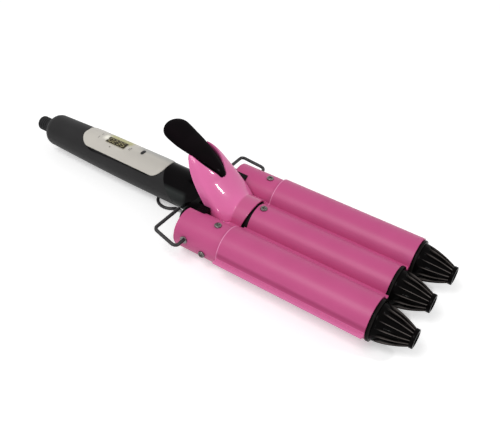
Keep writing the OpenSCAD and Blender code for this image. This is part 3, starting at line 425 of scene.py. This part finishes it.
lever = {"foot": (-27.0, 28.1), "length": 54.6, "width": 24.2, "thick": 3.4, "lift": 1.1, "rise": 0.4425,
         "bow": 0.023, "dip": 1.6, "dipEnd": 0.15, "peak": 0.835, "footShare": 0.18, "footRound": 0.035,
         "run": 0.9, "lean": 0.225, "deep": 0.45, "edge": 0.8, "rows": 130, "cols": 72}


# The lever's centre at a share t of its length: a straight slope with a slight bow, dipping at its foot
def leverSpot(t):
    x = lever["foot"][0] - lever["length"] * lever["run"] * t
    bow = lever["bow"] * np.sin(np.pi * np.minimum(1, 1.5 * t))
    dip = lever["dip"] * np.maximum(0, 1 - t / lever["dipEnd"]) ** 2
    return x, lever["foot"][1] + lever["lift"] + lever["length"] * (lever["rise"] * t + bow) - dip


# Half width: a rounded foot, a quarter sine out to the widest place, then a quarter ellipse to the free end
def leverHalf(t):
    peak, foot = lever["peak"], lever["footShare"]
    growing = foot + (1 - foot) * np.sin(np.pi / 2 * np.minimum(t, peak) / peak)
    growing = growing * np.sqrt(np.maximum(0.01, 1 - np.power(1 - np.minimum(t / lever["footRound"], 1), 2)))
    closing = np.sqrt(np.maximum(0.0005, 1 - np.power(np.maximum(t - peak, 0) / (1 - peak), 2)))
    return lever["width"] / 2 * np.where(t < peak, growing, closing)


# Cross-sections are flattened superellipses, strung along the centre line and leaning about square to it
def buildLever():
    t = (1 - np.cos(np.pi * np.linspace(0, 1, lever["rows"]))) / 2
    turn = 2 * math.pi * np.arange(lever["cols"]) / lever["cols"]
    x, z = leverSpot(t)
    thick = lever["thick"] * np.sqrt(np.maximum(0.02, 1 - np.power(2 * t - 1, 6)))
    wide = np.sign(np.cos(turn)) * np.abs(np.cos(turn)) ** lever["edge"]
    high = np.sign(np.sin(turn)) * np.abs(np.sin(turn)) ** lever["edge"]
    grid = np.stack([x[:, None] + lever["lean"] * thick[:, None] * high, leverHalf(t)[:, None] * wide,
                     z[:, None] + lever["deep"] * thick[:, None] * high], -1)
    piece = makePiece("thumbLeverShell", [(grid, capped)], 60)
    return dress(piece, "leverGloss", "clamp", "lever_gloss", "thumb_lever")


hood = {"rows": 130, "inner": 26, "outer": 84, "skirtRows": 26, "thick": 1.0, "rim": 0.24, "footZ": 5.4,
        "footBack": 26.0, "frontX": -11.0, "frontR": 16.2, "back": 51.5, "height": 41.5, "halfWidth": 19.6,
        "tuck": 0.7, "power": 2.2, "rearPower": 3.2, "flow": 1.6, "shoulder": (1.2, 2.3), "fall": 9.0,
        "slot": (2.4, 8.1, 0.36), "slotDepth": 1.3, "slotEase": 1.2, "skirtAngle": 84.0, "lipX": 0.7,
        "lipTilt": 15.0, "foot": (-14.0, -2.8, 14.6, 19.1, 4.9), "seatGap": 0.2}
hoodSweep = math.acos((hood["footZ"] - barrel["raise"]) / hood["frontR"])


# Height of the lever's underside over a place along X, which the screws' heads follow
def leverSeat(x):
    t = (lever["foot"][0] - lever["lean"] * lever["thick"] - x) / (lever["run"] * lever["length"])
    under = leverSpot(np.maximum(0, t))[1] - lever["deep"] * lever["thick"] - hood["seatGap"]
    return under + np.where(t < 0, -60 * t, 0)


# Share of the lever's length over a place along X
def leverShare(x):
    return (lever["foot"][0] - x) / (lever["run"] * lever["length"])


# Half width of the slot that the lever lies in: it widens as a quarter sine over its reach
def slotHalf(x):
    foot, grow, reach = hood["slot"]
    return foot + grow * np.sin(np.pi / 2 * np.clip(leverShare(x) / reach, 0, 1)) ** 0.9


# Sections fan out from the saddle's arc to half ovals at the open rim: s runs backwards, the angle from the
# crown to a foot
def hoodSection(s, angle):
    frontHalf = hood["frontR"] * math.sin(hoodSweep)
    widening = np.sin(np.pi / 2 * np.minimum(1, s / 0.45)) ** 0.8
    half = mixed(frontHalf, hood["halfWidth"], widening) - hood["tuck"] * smoothStep((s - 0.4) / 0.6)
    footX = mixed(hood["frontX"], -hood["footBack"], s)
    crownX = mixed(hood["frontX"], -hood["back"], s)
    crownZ = mixed(barrel["raise"] + hood["frontR"], hood["height"], np.sin(np.pi / 2 * s) ** hood["flow"])
    blend = smoothStep(s / 0.4)
    power = 2 / mixed(hood["power"], hood["rearPower"], smoothStep((s - 0.3) / 0.7))
    turn = angle * hoodSweep / (np.pi / 2)
    arc = (np.cos(turn) - math.cos(hoodSweep)) / (1 - math.cos(hoodSweep))
    lift = mixed(arc, np.abs(np.cos(angle)) ** power, blend)
    across = mixed(np.sin(turn) / math.sin(hoodSweep), np.sign(angle) * np.abs(np.sin(angle)) ** power, blend)
    return mixed(footX, crownX, lift), half * across, mixed(hood["footZ"], crownZ, lift)


# The slot's edge is one column of the grid: inside it the skin is pressed down, and outside it a shoulder
# rises. Rows in front of the cowl lie on the saddle as far as its tilted front edge.
def hoodGrid():
    s = np.linspace(0, 1, hood["rows"])[:, None] ** 1.1
    probe = np.linspace(0, np.pi / 2, 500)[None]
    x, y, z = hoodSection(s, probe)
    edge = np.array([np.interp(0, row, probe[0]) for row in y - slotHalf(x)])[:, None]
    inside = np.append(np.linspace(0, 0.96, hood["inner"]), 0.985)[None]
    outside = np.linspace(0, 1, hood["outer"])[None] ** 1.15
    half = np.hstack([edge * inside, edge + (np.pi / 2 - edge) * outside])
    angle = np.hstack([-half[:, :0:-1], half])
    x, y, z = hoodSection(s, angle)
    t = leverShare(x)
    beside = np.abs(y) - leverHalf(np.clip(t, 0, 1))
    shoulder = mixed(*hood["shoulder"], smoothStep(t / 0.5)) * smoothStep(t / 0.08)
    shoulder = shoulder * (1 - smoothStep((np.abs(y) - slotHalf(x)) / hood["fall"]))
    # The pressed pit is also the mark that paints it near black, as shade
    shadedPit = (np.abs(angle) < 0.99 * edge) & (leverShare(x + lever["lean"] * lever["thick"]) > 0)
    press = hood["slotDepth"] * smoothStep((beside + hood["slotEase"]) / hood["slotEase"])
    cowl = np.stack([x, y, np.where(shadedPit, np.minimum(z, leverSeat(x)) - press, z + shoulder)], -1)

    w = np.linspace(0, 1, hood["skirtRows"])[:-1, None]
    skirtSweep = mixed(math.radians(hood["skirtAngle"]), hoodSweep, smoothStep(w))
    turn = angle[:1] / (np.pi / 2) * skirtSweep
    z = barrel["raise"] + hood["frontR"] * np.cos(turn)
    lipEdge = hood["lipX"] + (z - hood["frontR"]) * math.tan(math.radians(hood["lipTilt"]))
    skirt = np.stack([mixed(lipEdge, hood["frontX"], w), hood["frontR"] * np.sin(turn), z], -1)
    return np.vstack([skirt, cowl]), np.vstack([np.zeros(turn.shape), shadedPit])


# The saddle's feet are flat strips that reach out between it and the outer barrels
def buildHood():
    grid, shadedPit = hoodGrid()
    back, front, inner, outer, height = hood["foot"]
    x, y = np.meshgrid(np.linspace(back, front, 8), np.linspace(inner, outer, 6), indexing="ij")
    feet = [(np.stack([x, side * y, np.full(x.shape, height)], -1)[:, ::side], {}) for side in (1, -1)]
    piece = makePiece("hoodShell", [(grid[:, ::-1], {}), *feet], 50, faceOut=False)
    storeMark(piece, "shadedPit", shadedPit[:, ::-1])
    wall = piece.modifiers.new("wall", "SOLIDIFY")
    wall.thickness, wall.offset = hood["thick"] / 1000, -1
    rim = piece.modifiers.new("rim", "BEVEL")
    rim.width, rim.segments = hood["rim"] / 1000, 3
    rim.limit_method, rim.angle_limit = "ANGLE", math.radians(50)
    return dress(piece, "pinkGloss", "clamp", "pink_gloss", "clamp_hood")


stand = {"wire": 1.25, "pivot": (-27.0, 2.0), "side": 47.0, "inset": 3.4, "elbow": 56.1, "corner": 53.4,
         "bar": (-47.0, 6.0), "barIn": 27.0, "neck": (-61.0, 6.8), "loopX": -74.5, "loopZ": -16.15,
         "loopR": 10.8, "bend": 3.2, "sides": 20}


# Points on the arc that rounds the corner at b with a given radius, by blending its two end directions
def cornerArc(a, b, c, radius, count=14):
    u, v = unitRows(a - b), unitRows(c - b)
    half = math.acos(float(np.clip(u @ v, -1, 1))) / 2
    centre = b + unitRows(u + v) * radius / math.sin(half)
    p, q = b + u * radius / math.tan(half) - centre, b + v * radius / math.tan(half) - centre
    sweep = math.pi - 2 * half
    k = np.linspace(0, 1, count)[:, None]
    return centre + (np.sin(sweep * (1 - k)) * p + np.sin(sweep * k) * q) / math.sin(sweep)


# From the pivot out, back along the barrel, in to the collar, down to the neck and round the foot loop; the
# other half mirrors it
def standPath():
    (px, pz), (barX, barZ), (neckX, neckY) = stand["pivot"], stand["bar"], stand["neck"]
    loopX, loopZ, loopR = stand["loopX"], stand["loopZ"], stand["loopR"]
    start = math.asin(neckY / loopR)
    hard = np.array([[px, stand["side"] - stand["inset"], pz], [px, stand["elbow"], pz],
                     [barX, stand["corner"], barZ], [barX, stand["barIn"], barZ], [neckX, neckY, loopZ],
                     [loopX + loopR * math.cos(start), neckY, loopZ]])
    bends = [cornerArc(hard[k - 1], hard[k], hard[k + 1], stand["bend"]) for k in range(1, 5)]
    turn = np.linspace(start, math.pi, 60)[:-1]
    loop = np.stack([loopX + loopR * np.cos(turn), loopR * np.sin(turn), np.full(len(turn), loopZ)], -1)
    half = np.vstack([hard[:1], *bends, loop])
    return np.vstack([half, half[::-1] * (1, -1, 1)])


def buildStand():
    grid = tubeGrid(standPath(), stand["wire"], stand["sides"], (0, 0, 1))
    piece = makePiece("standWire", [(grid, capped)], 50)
    return dress(piece, "wireBlack", "stand", "wire_black", "wire_stand")


tip = {"length": 27.6, "flange": 2.6, "lip": 0.5, "endR": 6.5, "endT": 2.6, "fins": 15, "finT": 0.8,
       "drop": 2.0, "swell": 1.7, "spigot": 8.0, "segments": 360, "rows": 40}


# A turned profile that swells outwards from the flange to the small ring. It rises to the fins wherever the
# arc from the nearest fin's middle is under half its thickness, and the valleys between them start in a
# smooth shoulder. The mark is a painted highlight: 1 on the fins' crests, and faint on the flange's edge.
def tipGrid(baseX, y, z):
    r, plugR = barrel["radius"], barrel["radius"] - barrel["wall"] - 0.15
    lipR, endR, length = r + tip["lip"], tip["endR"], tip["length"]
    flange, spigot = tip["flange"], tip["spigot"]
    ring = length - tip["endT"]
    back = [(-spigot, 0.2), (-spigot, plugR - 0.3), (0.3 - spigot, plugR), (0.1, plugR), (0.1, lipR - 0.5),
            (0.22, lipR - 0.2), (0.5, lipR), (flange - 0.7, lipR), (flange - 0.25, lipR - 0.2),
            (flange, lipR - 0.7)]
    front = [(ring, endR - 0.15), (ring + 0.2, endR), (length - 0.45, endR), (length - 0.12, endR - 0.14),
             (length, endR - 0.5), (length, endR - 1.7), (length - 0.2, endR - 1.95),
             (length - 1.5, endR - 2), (length - 1.6, endR - 2.3), (length - 1.6, 0.2)]

    def spread(points, column):
        return np.repeat(np.array(points)[:, column:column + 1], tip["segments"], axis=1)

    t = np.linspace(0, 1, tip["rows"])[:, None]
    turn = 2 * math.pi * np.arange(tip["segments"]) / tip["segments"]
    step = 2 * math.pi / tip["fins"]
    arc = np.abs((turn / step) % 1 - 0.5) * step
    crest = endR - 0.3 + (r - 0.9 - endR) * (1 - t ** tip["swell"])
    core = crest - tip["drop"] * smoothStep((t - 0.05) / 0.25) * (1 - 0.3 * t)
    rise = smoothStep((tip["finT"] / 2 + 0.1 - arc[None] * crest) / 0.25)
    along = np.repeat(flange + (ring - flange) * t, tip["segments"], axis=1)
    x = np.vstack([spread(back, 0), along, spread(front, 0)]) + baseX
    radius = np.vstack([spread(back, 1), core + (crest - core) * rise, spread(front, 1)])
    shine = smoothStep((tip["finT"] / 2 - 0.05 - arc[None] * crest) / 0.15) * smoothStep((t - 0.08) / 0.3)
    mark = np.vstack([np.zeros((len(back), tip["segments"])), shine, np.zeros((len(front), tip["segments"]))])
    # a faint painted highlight on the flange's edge
    mark[7:9] = 0.1
    return np.stack([x, y + radius * np.cos(turn), z + radius * np.sin(turn)], -1), mark


# Each tip's piece, node and body, and the place of its flange's back
tipPlaces = (
    ("coolTipNear", "tip_right", "handle", barrel["front"], -barrel["pitch"], 0.0),
    ("coolTipFar", "tip_left", "handle", barrel["front"], barrel["pitch"], 0.0),
    ("coolTipMiddle", "tip_middle", "clamp", barrel["middleFront"], 0.0, barrel["raise"]),
)


def buildTips():
    for name, node, body, x, y, z in tipPlaces:
        grid, mark = tipGrid(x, y, z)
        piece = makePiece(name, [(grid, capped)], 38)
        storeMark(piece, "crest", mark)
        dress(piece, "tipGloss", body, "tip_black", node)


screw = {"headR": 2.6, "headT": 1.4, "shankR": 1.4, "slotHalf": 0.36, "slotReach": 1.55, "depth": 0.9,
         "around": 72, "rings": 26, "gap": 0.1}


# Pan head with a cross recess: a dome whose height drops inside two crossed arms, by their signed distance
def screwGrid(grip):
    headR, headT, shankR, reach = screw["headR"], screw["headT"], screw["shankR"], screw["slotReach"]
    r = np.linspace(0.03, 1, screw["rings"])[:, None] * (headR - 0.25)
    turn = 2 * math.pi * np.arange(screw["around"])[None] / screw["around"]
    x, y = r * np.cos(turn), r * np.sin(turn)
    dome = headT - 0.55 * (r / headR) ** 2.6
    arms = np.minimum(np.maximum(np.abs(x) - reach, np.abs(y) - screw["slotHalf"]),
                      np.maximum(np.abs(y) - reach, np.abs(x) - screw["slotHalf"]))
    z = dome - screw["depth"] * smoothStep(-arms / 0.16 + 0.25) * (1 - 0.45 * np.clip(r / reach, 0, 1))
    top = np.stack([x, y, z + 0 * x], -1)
    low = np.array([(headR - 0.06, headT * 0.42), (headR, headT * 0.2), (headR - 0.1, 0.0), (shankR, 0.0),
                    (shankR, -grip + 0.3), (shankR - 0.3, -grip)])
    ring, height = low[:, :1], np.repeat(low[:, 1:], turn.shape[1], axis=1)
    side = np.stack([ring * np.cos(turn), ring * np.sin(turn), height], -1)
    return np.vstack([top, side])


# Each screw stands at its spot, with its head looking along a direction, turned about itself by its own angle
def buildScrews(name, node, body, spots, grip=4.2):
    grids = []
    for spot, look, spin in spots:
        turned = np.array(Matrix.Rotation(math.radians(spin), 3, "Z"))
        aim = np.array(Vector((0, 0, 1)).rotation_difference(Vector(look)).to_matrix())
        grids.append((screwGrid(grip) @ turned.T @ aim.T + np.array(spot), capped))
    return dress(makePiece(name, grids, 40), "screwSteel", body, "screw_steel", node)


# A screw under the hood stands square to the slope that it passes through
def underHood(x, spin):
    ahead, behind = (float(leverSeat(np.array(x + step))) for step in (0.5, -0.5))
    look = Vector((ahead - behind, 0, -1)).normalized()
    start = Vector((x, 0, float(leverSeat(np.array(x))))) + look * (hood["thick"] + hood["seatGap"])
    return tuple(start), tuple(look), spin


handle = {"radius": 14.7, "taper": 2.2, "cordEnd": -196.1, "taperLength": 92, "power": 1.5, "axisZ": 0.7,
          "arcRadius": 15.3, "sunk": 3}


# The handle's radius is constant in front, and drawn in by a power curve towards the cord end
def handleRadius(x):
    drawn = np.maximum(0, 1 - (x - handle["cordEnd"]) / handle["taperLength"])
    return handle["radius"] - handle["taper"] * drawn ** handle["power"]


panel = {"front": -76.6, "back": -156.8, "width": 25.0, "corner": 9.0, "proud": 0.6, "round": 0.35,
         "deep": 0.9, "rows": 16, "cornerSteps": 55}
window = {"middle": (-126.0, -1.3), "size": (18.2, 6.4), "corner": 0.5, "proud": 0.1, "digits": "0235",
          "digitSize": (2.7, 3.9), "stroke": 0.6, "pitch": 3.9, "slant": 0.06,
          "frame": ((0.0, -0.2), (0.0, 0.1), (0.12, 0.2), (0.4, 0.2), (0.5, 0.1), (0.5, -0.2)),
          "ticks": ((-112.6, -3.1, 1.5, 0.5), (-112.4, -1.9, 1.9, 0.45), (-112.1, -0.8, 1.2, 0.45),
                    (-128.6, -7.3, 1.1, 0.9), (-143.0, -3.2, 0.5, 2.2), (-142.6, 1.2, 0.5, 2.4))}


# Lays a flat drawing on the handle's top: its Y becomes an arc, and the height is added to the radius there
def onHandle(x, y, height):
    radius = handleRadius(x) + height
    turn = np.arcsin(np.clip(y / handle["arcRadius"], -1, 1))
    return np.stack([x, radius * np.sin(turn), handle["axisZ"] + radius * np.cos(turn)], -1)


# A rounded rectangle's outline, as a quarter circle round each corner
def roundedOutline(width, height, corner, steps=8):
    turn = np.concatenate([np.linspace(k, k + 1, steps) for k in range(4)]) * np.pi / 2
    side = np.repeat(np.array([(1, 1), (-1, 1), (-1, -1), (1, -1)]), steps, axis=0)
    bend = np.stack([np.cos(turn), np.sin(turn)], -1)
    return side * (width / 2 - corner, height / 2 - corner) + corner * bend


# Inlay with a long rounded outline: rows run from its middle line out to the edge, round it and down the side
def panelGrid():
    radius = panel["width"] / 2
    half = (panel["front"] - panel["back"]) / 2 - radius
    outline = roundedOutline(2 * (half + radius), panel["width"], panel["corner"], panel["cornerSteps"])
    spine = np.stack([np.clip(outline[:, 0], -half, half), 0 * outline[:, 1]], -1)
    bend = np.linspace(0, np.pi / 2, 7)
    top = np.linspace(radius, panel["round"] + 0.5, panel["rows"])
    inset = np.concatenate([top, panel["round"] * (1 - np.sin(bend)), [0, 0]])[:, None, None]
    fallen = [panel["round"] + 0.4, panel["deep"]]
    drop = np.concatenate([np.zeros(panel["rows"]), panel["round"] * (1 - np.cos(bend)), fallen])[:, None]
    flat = outline + (spine - outline) * inset / radius
    return onHandle(flat[..., 0] + (panel["front"] + panel["back"]) / 2, flat[..., 1], panel["proud"] - drop)


# A low pad on the panel with a bevelled top, drawn by its outline: rows run up the side and in to the middle
def padGrid(outline, low, high, bevel=0.06):
    middle = outline.mean(axis=0)
    reach = np.linalg.norm(outline - middle, axis=1, keepdims=True)
    inward = (middle - outline) / reach
    rings = [(0, low), (0, high - bevel), (bevel * 0.3, high - bevel * 0.3), (bevel, high)]
    rows = [onHandle(*(outline + inward * step).T, np.full(len(outline), height)) for step, height in rings]
    top = np.full(len(outline), high)
    shrink = [onHandle(*(outline + (middle - outline) * share).T, top) for share in (0.3, 0.6, 0.9)]
    return np.array(rows + shrink)


segmentPlan = {"0": "abcdef", "2": "abged", "3": "abgcd", "5": "afgcd"}


# Seven-stroke digits: each stroke is a pad whose outline is a bar with pointed ends
def digitPads():
    w, h = window["digitSize"]
    t = window["stroke"]
    bars = {"a": (0, h / 2, 0), "g": (0, 0, 0), "d": (0, -h / 2, 0), "b": (w / 2, h / 4, 1),
            "c": (w / 2, -h / 4, 1), "f": (-w / 2, h / 4, 1), "e": (-w / 2, -h / 4, 1)}
    top = panel["proud"] + window["proud"]
    pads = []
    for place, digit in enumerate(window["digits"]):
        for key in segmentPlan[digit]:
            x, y, upright = bars[key]
            reach = (h / 2 if upright else w) / 2 - 0.12
            shape = np.array([(reach, 0), (reach - t / 2, t / 2), (t / 2 - reach, t / 2),
                              (-reach, 0), (t / 2 - reach, -t / 2), (reach - t / 2, -t / 2)])
            shape = shape[:, ::-1] * (1, -1) if upright else shape
            shape = shape + (x, y)
            slide = (place - 1.5) * window["pitch"] + window["middle"][0]
            shape[:, 0] += window["slant"] * shape[:, 1] + slide
            shape[:, 1] += window["middle"][1]
            pads.append((padGrid(shape, top - 0.1, top + 0.05, 0.03), capped))
    return pads


# The frame is a closed loop of rings that grow outwards and rise, carried round the window
def frameGrid():
    (w, h), c = window["size"], window["corner"]
    loops = []
    for grow, rise in window["frame"]:
        outline = roundedOutline(w + 2 * grow, h + 2 * grow, c + grow) + window["middle"]
        loops.append(onHandle(*outline.T, np.full(len(outline), panel["proud"] + rise)))
    return np.array(loops)


def buildPanel():
    proud = panel["proud"]
    shell = makePiece("panelShell", [(panelGrid(), capped)], 50)
    dress(shell, "panelSatin", "handle", "panel_grey", "control_panel")
    outline = roundedOutline(*window["size"], window["corner"]) + window["middle"]
    glass = makePiece("displayWindow", [(padGrid(outline, 0.2, proud + window["proud"]), capped)], 50)
    dress(glass, "displayDark", "handle", "display_dark", "display_lens")
    border = makePiece("displayFrame", [(frameGrid(), {"wrapCols": True, "wrapRows": True})], 50)
    dress(border, "bezelTint", "handle", "bezel", "display_bezel")
    dress(makePiece("displayDigits", digitPads(), 50), "digitCream", "handle", "display_dark")
    ticks = []
    for x, y, w, h in window["ticks"]:
        ticks.append((padGrid(roundedOutline(w, h, 0.2) + (x, y), proud - 0.1, proud + 0.05, 0.03), capped))
    dress(makePiece("panelTicks", ticks, 50), "markGrey", "handle", "panel_grey")


def buildAllScrews():
    pitch, r, gap = barrel["pitch"], barrel["radius"], screw["gap"]
    buildScrews("barrelTopScrews", "top_screws", "handle",
                [((-9, -pitch, r + gap), (0, 0, 1), 25), ((-9, pitch, r + gap), (0, 0, 1), 62)])
    buildScrews("barrelSideScrews", "side_screws", "handle",
                [((-12, -pitch - r - gap, -3), (0, -1, 0), 40), ((-12, pitch + r + gap, -3), (0, 1, 0), 10)])
    buildScrews("middleBarrelScrew", "middle_screw", "clamp",
                [((6.4, 0, r + barrel["raise"] + gap), (0, 0, 1), 15)])
    buildScrews("yokeScrews", "yoke_screws", "handle",
                [((-40.2, -30, 6), (-1, 0, 0), 20), ((-40.2, 30, 6), (-1, 0, 0), 55)], 7)
    wells = [(x, 0, handle["axisZ"] + handle["sunk"] - handleRadius(x) - gap) for x in (-137.1, -100.1)]
    buildScrews("handleScrews", "handle_screws", "handle",
                [(well, (0, 0, -1), spin) for well, spin in zip(wells, (35, 70))], 8)
    buildScrews("leverScrews", "lever_screws", "clamp", [underHood(-37.4, 30), underHood(-46.4, 75)], 3.6)


spring = {"wire": 0.6, "coilR": 4.1, "turns": 5, "slot": 6.2, "play": 2.4, "axis": (-32.0, 5.0),
          "slotBack": -38.6, "slotFloor": -3.5, "web": 11.6, "gap": 0.1, "sides": 14, "perTurn": 40}


# A coil round the hinge pin with a straight leg to the slot's floor and one up to the bracket
def buildSpring():
    wire = spring["wire"]
    pitch = (2 * spring["slot"] - spring["play"] - 2 * wire) / spring["turns"]
    turn = np.linspace(0, spring["turns"] + 1 / 8, int(spring["turns"] * spring["perTurn"]))
    ax, az = spring["axis"]
    coil = np.stack([ax + spring["coilR"] * np.cos(2 * np.pi * turn - np.pi / 2),
                     (turn - spring["turns"] / 2) * pitch,
                     az + spring["coilR"] * np.sin(2 * np.pi * turn - np.pi / 2)], -1)
    floor = np.array([spring["slotBack"] + 2 * wire, coil[0, 1], spring["slotFloor"] + wire + spring["gap"]])
    lift = spring["web"] - wire - spring["gap"] - coil[-1, 2]
    legs = np.linspace(0, 1, 8)[:, None]
    upper = coil[-1] + legs[1:] * np.array([lift, 0, lift])
    path = np.vstack([mixed(floor, coil[0], legs)[:-1], coil, upper])
    grid = tubeGrid(path, wire, spring["sides"], (0, 1, 0))
    piece = makePiece("returnSpring", [(grid, capped)], 50)
    return dress(piece, "springSteel", "handle", "spring_steel", "clamp_spring")


stage = {"floor": 4.0, "floorShade": 0.86, "floorGlow": 0.42, "farGlow": 0.66, "glowRange": (0.4, 2.0),
         "worldLight": 0.42, "aim": (0, 0, 0.03),
         "lamps": (("keyLamp", (-0.1, -0.55, 0.95), 0.5, 5.0), ("sideLamp", (0.79, 0.29, 0.74), 0.1, 2.1),
                   ("glintLamp", (0.44, -0.9, 0.24), 0.05, 0.7))}


# A mask that is 1 for camera, glossy and transmission rays, which see the plain white surroundings
def seenRays(tree):
    path = tree.nodes.new("ShaderNodeLightPath")
    first, second = tree.nodes.new("ShaderNodeMath"), tree.nodes.new("ShaderNodeMath")
    first.operation = second.operation = "MAXIMUM"
    tree.links.new(path.outputs["Is Camera Ray"], first.inputs[0])
    tree.links.new(path.outputs["Is Glossy Ray"], first.inputs[1])
    tree.links.new(first.outputs[0], second.inputs[0])
    tree.links.new(path.outputs["Is Transmission Ray"], second.inputs[1])
    return second.outputs[0]


# The floor's own glow grows away from the object, where the lamps no longer reach, and from below it is clear
def buildStage():
    floorMesh = bpy.data.meshes.new("studioFloor")
    reach = stage["floor"]
    corners = [(-reach, -reach, 0), (reach, -reach, 0), (reach, reach, 0), (-reach, reach, 0)]
    floorMesh.from_pydata(corners, [], [(0, 1, 2, 3)])
    floorPiece = bpy.data.objects.new("studioFloor", floorMesh)
    bpy.context.scene.collection.objects.link(floorPiece)
    paper = bpy.data.materials.new("paleFloor")
    paper.use_nodes = True
    tree = paper.node_tree
    shader = tree.nodes["Principled BSDF"]
    shader.inputs["Base Color"].default_value = (stage["floorShade"],) * 3 + (1,)
    shader.inputs["Roughness"].default_value = 0.95
    shader.inputs["Specular IOR Level"].default_value = 0.1
    glow, total = tree.nodes.new("ShaderNodeEmission"), tree.nodes.new("ShaderNodeAddShader")
    strength = tree.nodes.new("ShaderNodeMath")
    strength.operation = "MULTIPLY"
    away, further = tree.nodes.new("ShaderNodeVectorMath"), tree.nodes.new("ShaderNodeMapRange")
    away.operation = "LENGTH"
    ranges = (*stage["glowRange"], stage["floorGlow"], stage["farGlow"])
    for socketName, value in zip(("From Min", "From Max", "To Min", "To Max"), ranges):
        further.inputs[socketName].default_value = value
    tree.links.new(tree.nodes.new("ShaderNodeTexCoord").outputs["Object"], away.inputs[0])
    tree.links.new(away.outputs["Value"], further.inputs["Value"])
    tree.links.new(seenRays(tree), strength.inputs[0])
    tree.links.new(further.outputs["Result"], strength.inputs[1])
    tree.links.new(strength.outputs[0], glow.inputs["Strength"])
    tree.links.new(shader.outputs[0], total.inputs[0])
    tree.links.new(glow.outputs[0], total.inputs[1])
    clear, choice = tree.nodes.new("ShaderNodeBsdfTransparent"), tree.nodes.new("ShaderNodeMixShader")
    tree.links.new(tree.nodes.new("ShaderNodeNewGeometry").outputs["Backfacing"], choice.inputs["Fac"])
    tree.links.new(total.outputs[0], choice.inputs[1])
    tree.links.new(clear.outputs[0], choice.inputs[2])
    tree.links.new(choice.outputs[0], tree.nodes["Material Output"].inputs["Surface"])
    floorMesh.materials.append(paper)

    world = bpy.data.worlds.new("studioWorld")
    world.use_nodes = True
    tree = world.node_tree
    background = tree.nodes["Background"]
    background.inputs["Color"].default_value = (1, 1, 1, 1)
    level = tree.nodes.new("ShaderNodeMapRange")
    level.inputs["To Min"].default_value, level.inputs["To Max"].default_value = stage["worldLight"], 1.0
    tree.links.new(seenRays(tree), level.inputs["Value"])
    tree.links.new(level.outputs["Result"], background.inputs["Strength"])
    bpy.context.scene.world = world
    for name, place, size, power in stage["lamps"]:
        lamp = bpy.data.lights.new(name, "AREA")
        lamp.shape, lamp.size, lamp.energy = "DISK", size, power
        holder = bpy.data.objects.new(name, lamp)
        holder.location = place
        away = Vector(stage["aim"]) - Vector(place)
        holder.rotation_euler = away.to_track_quat("-Z", "Y").to_euler()
        bpy.context.scene.collection.objects.link(holder)


shot = {"place": (181.824, -314.430, 306.273), "right": (0.834547, 0.548079, 0.056049),
        "down": (0.389223, -0.514525, -0.764048), "ahead": (-0.389920, 0.659450, -0.642720),
        "focalPixels": 671.07, "width": 500}


# The camera stands where the photograph's lines of sight meet, and its axes are the fitted right, up and back
def buildCamera():
    data = bpy.data.cameras.new("photoCamera")
    data.sensor_fit, data.sensor_width = "HORIZONTAL", 36.0
    data.lens = data.sensor_width * shot["focalPixels"] / shot["width"]
    data.clip_end = 20
    holder = bpy.data.objects.new("photoCamera", data)
    up, back = ([-v for v in shot[side]] for side in ("down", "ahead"))
    axes = Matrix((shot["right"], up, back)).transposed().to_4x4()
    holder.matrix_world = Matrix.Translation(Vector(toRow(shot["place"]))) @ axes
    bpy.context.scene.collection.objects.link(holder)
    bpy.context.scene.camera = holder


buildCamera()
buildStage()
print("camera and light ready")
buildLever()
buildHood()
buildStand()
buildTips()
buildAllScrews()
buildSpring()
buildPanel()

bpy.context.scene.view_settings.view_transform = "Standard"
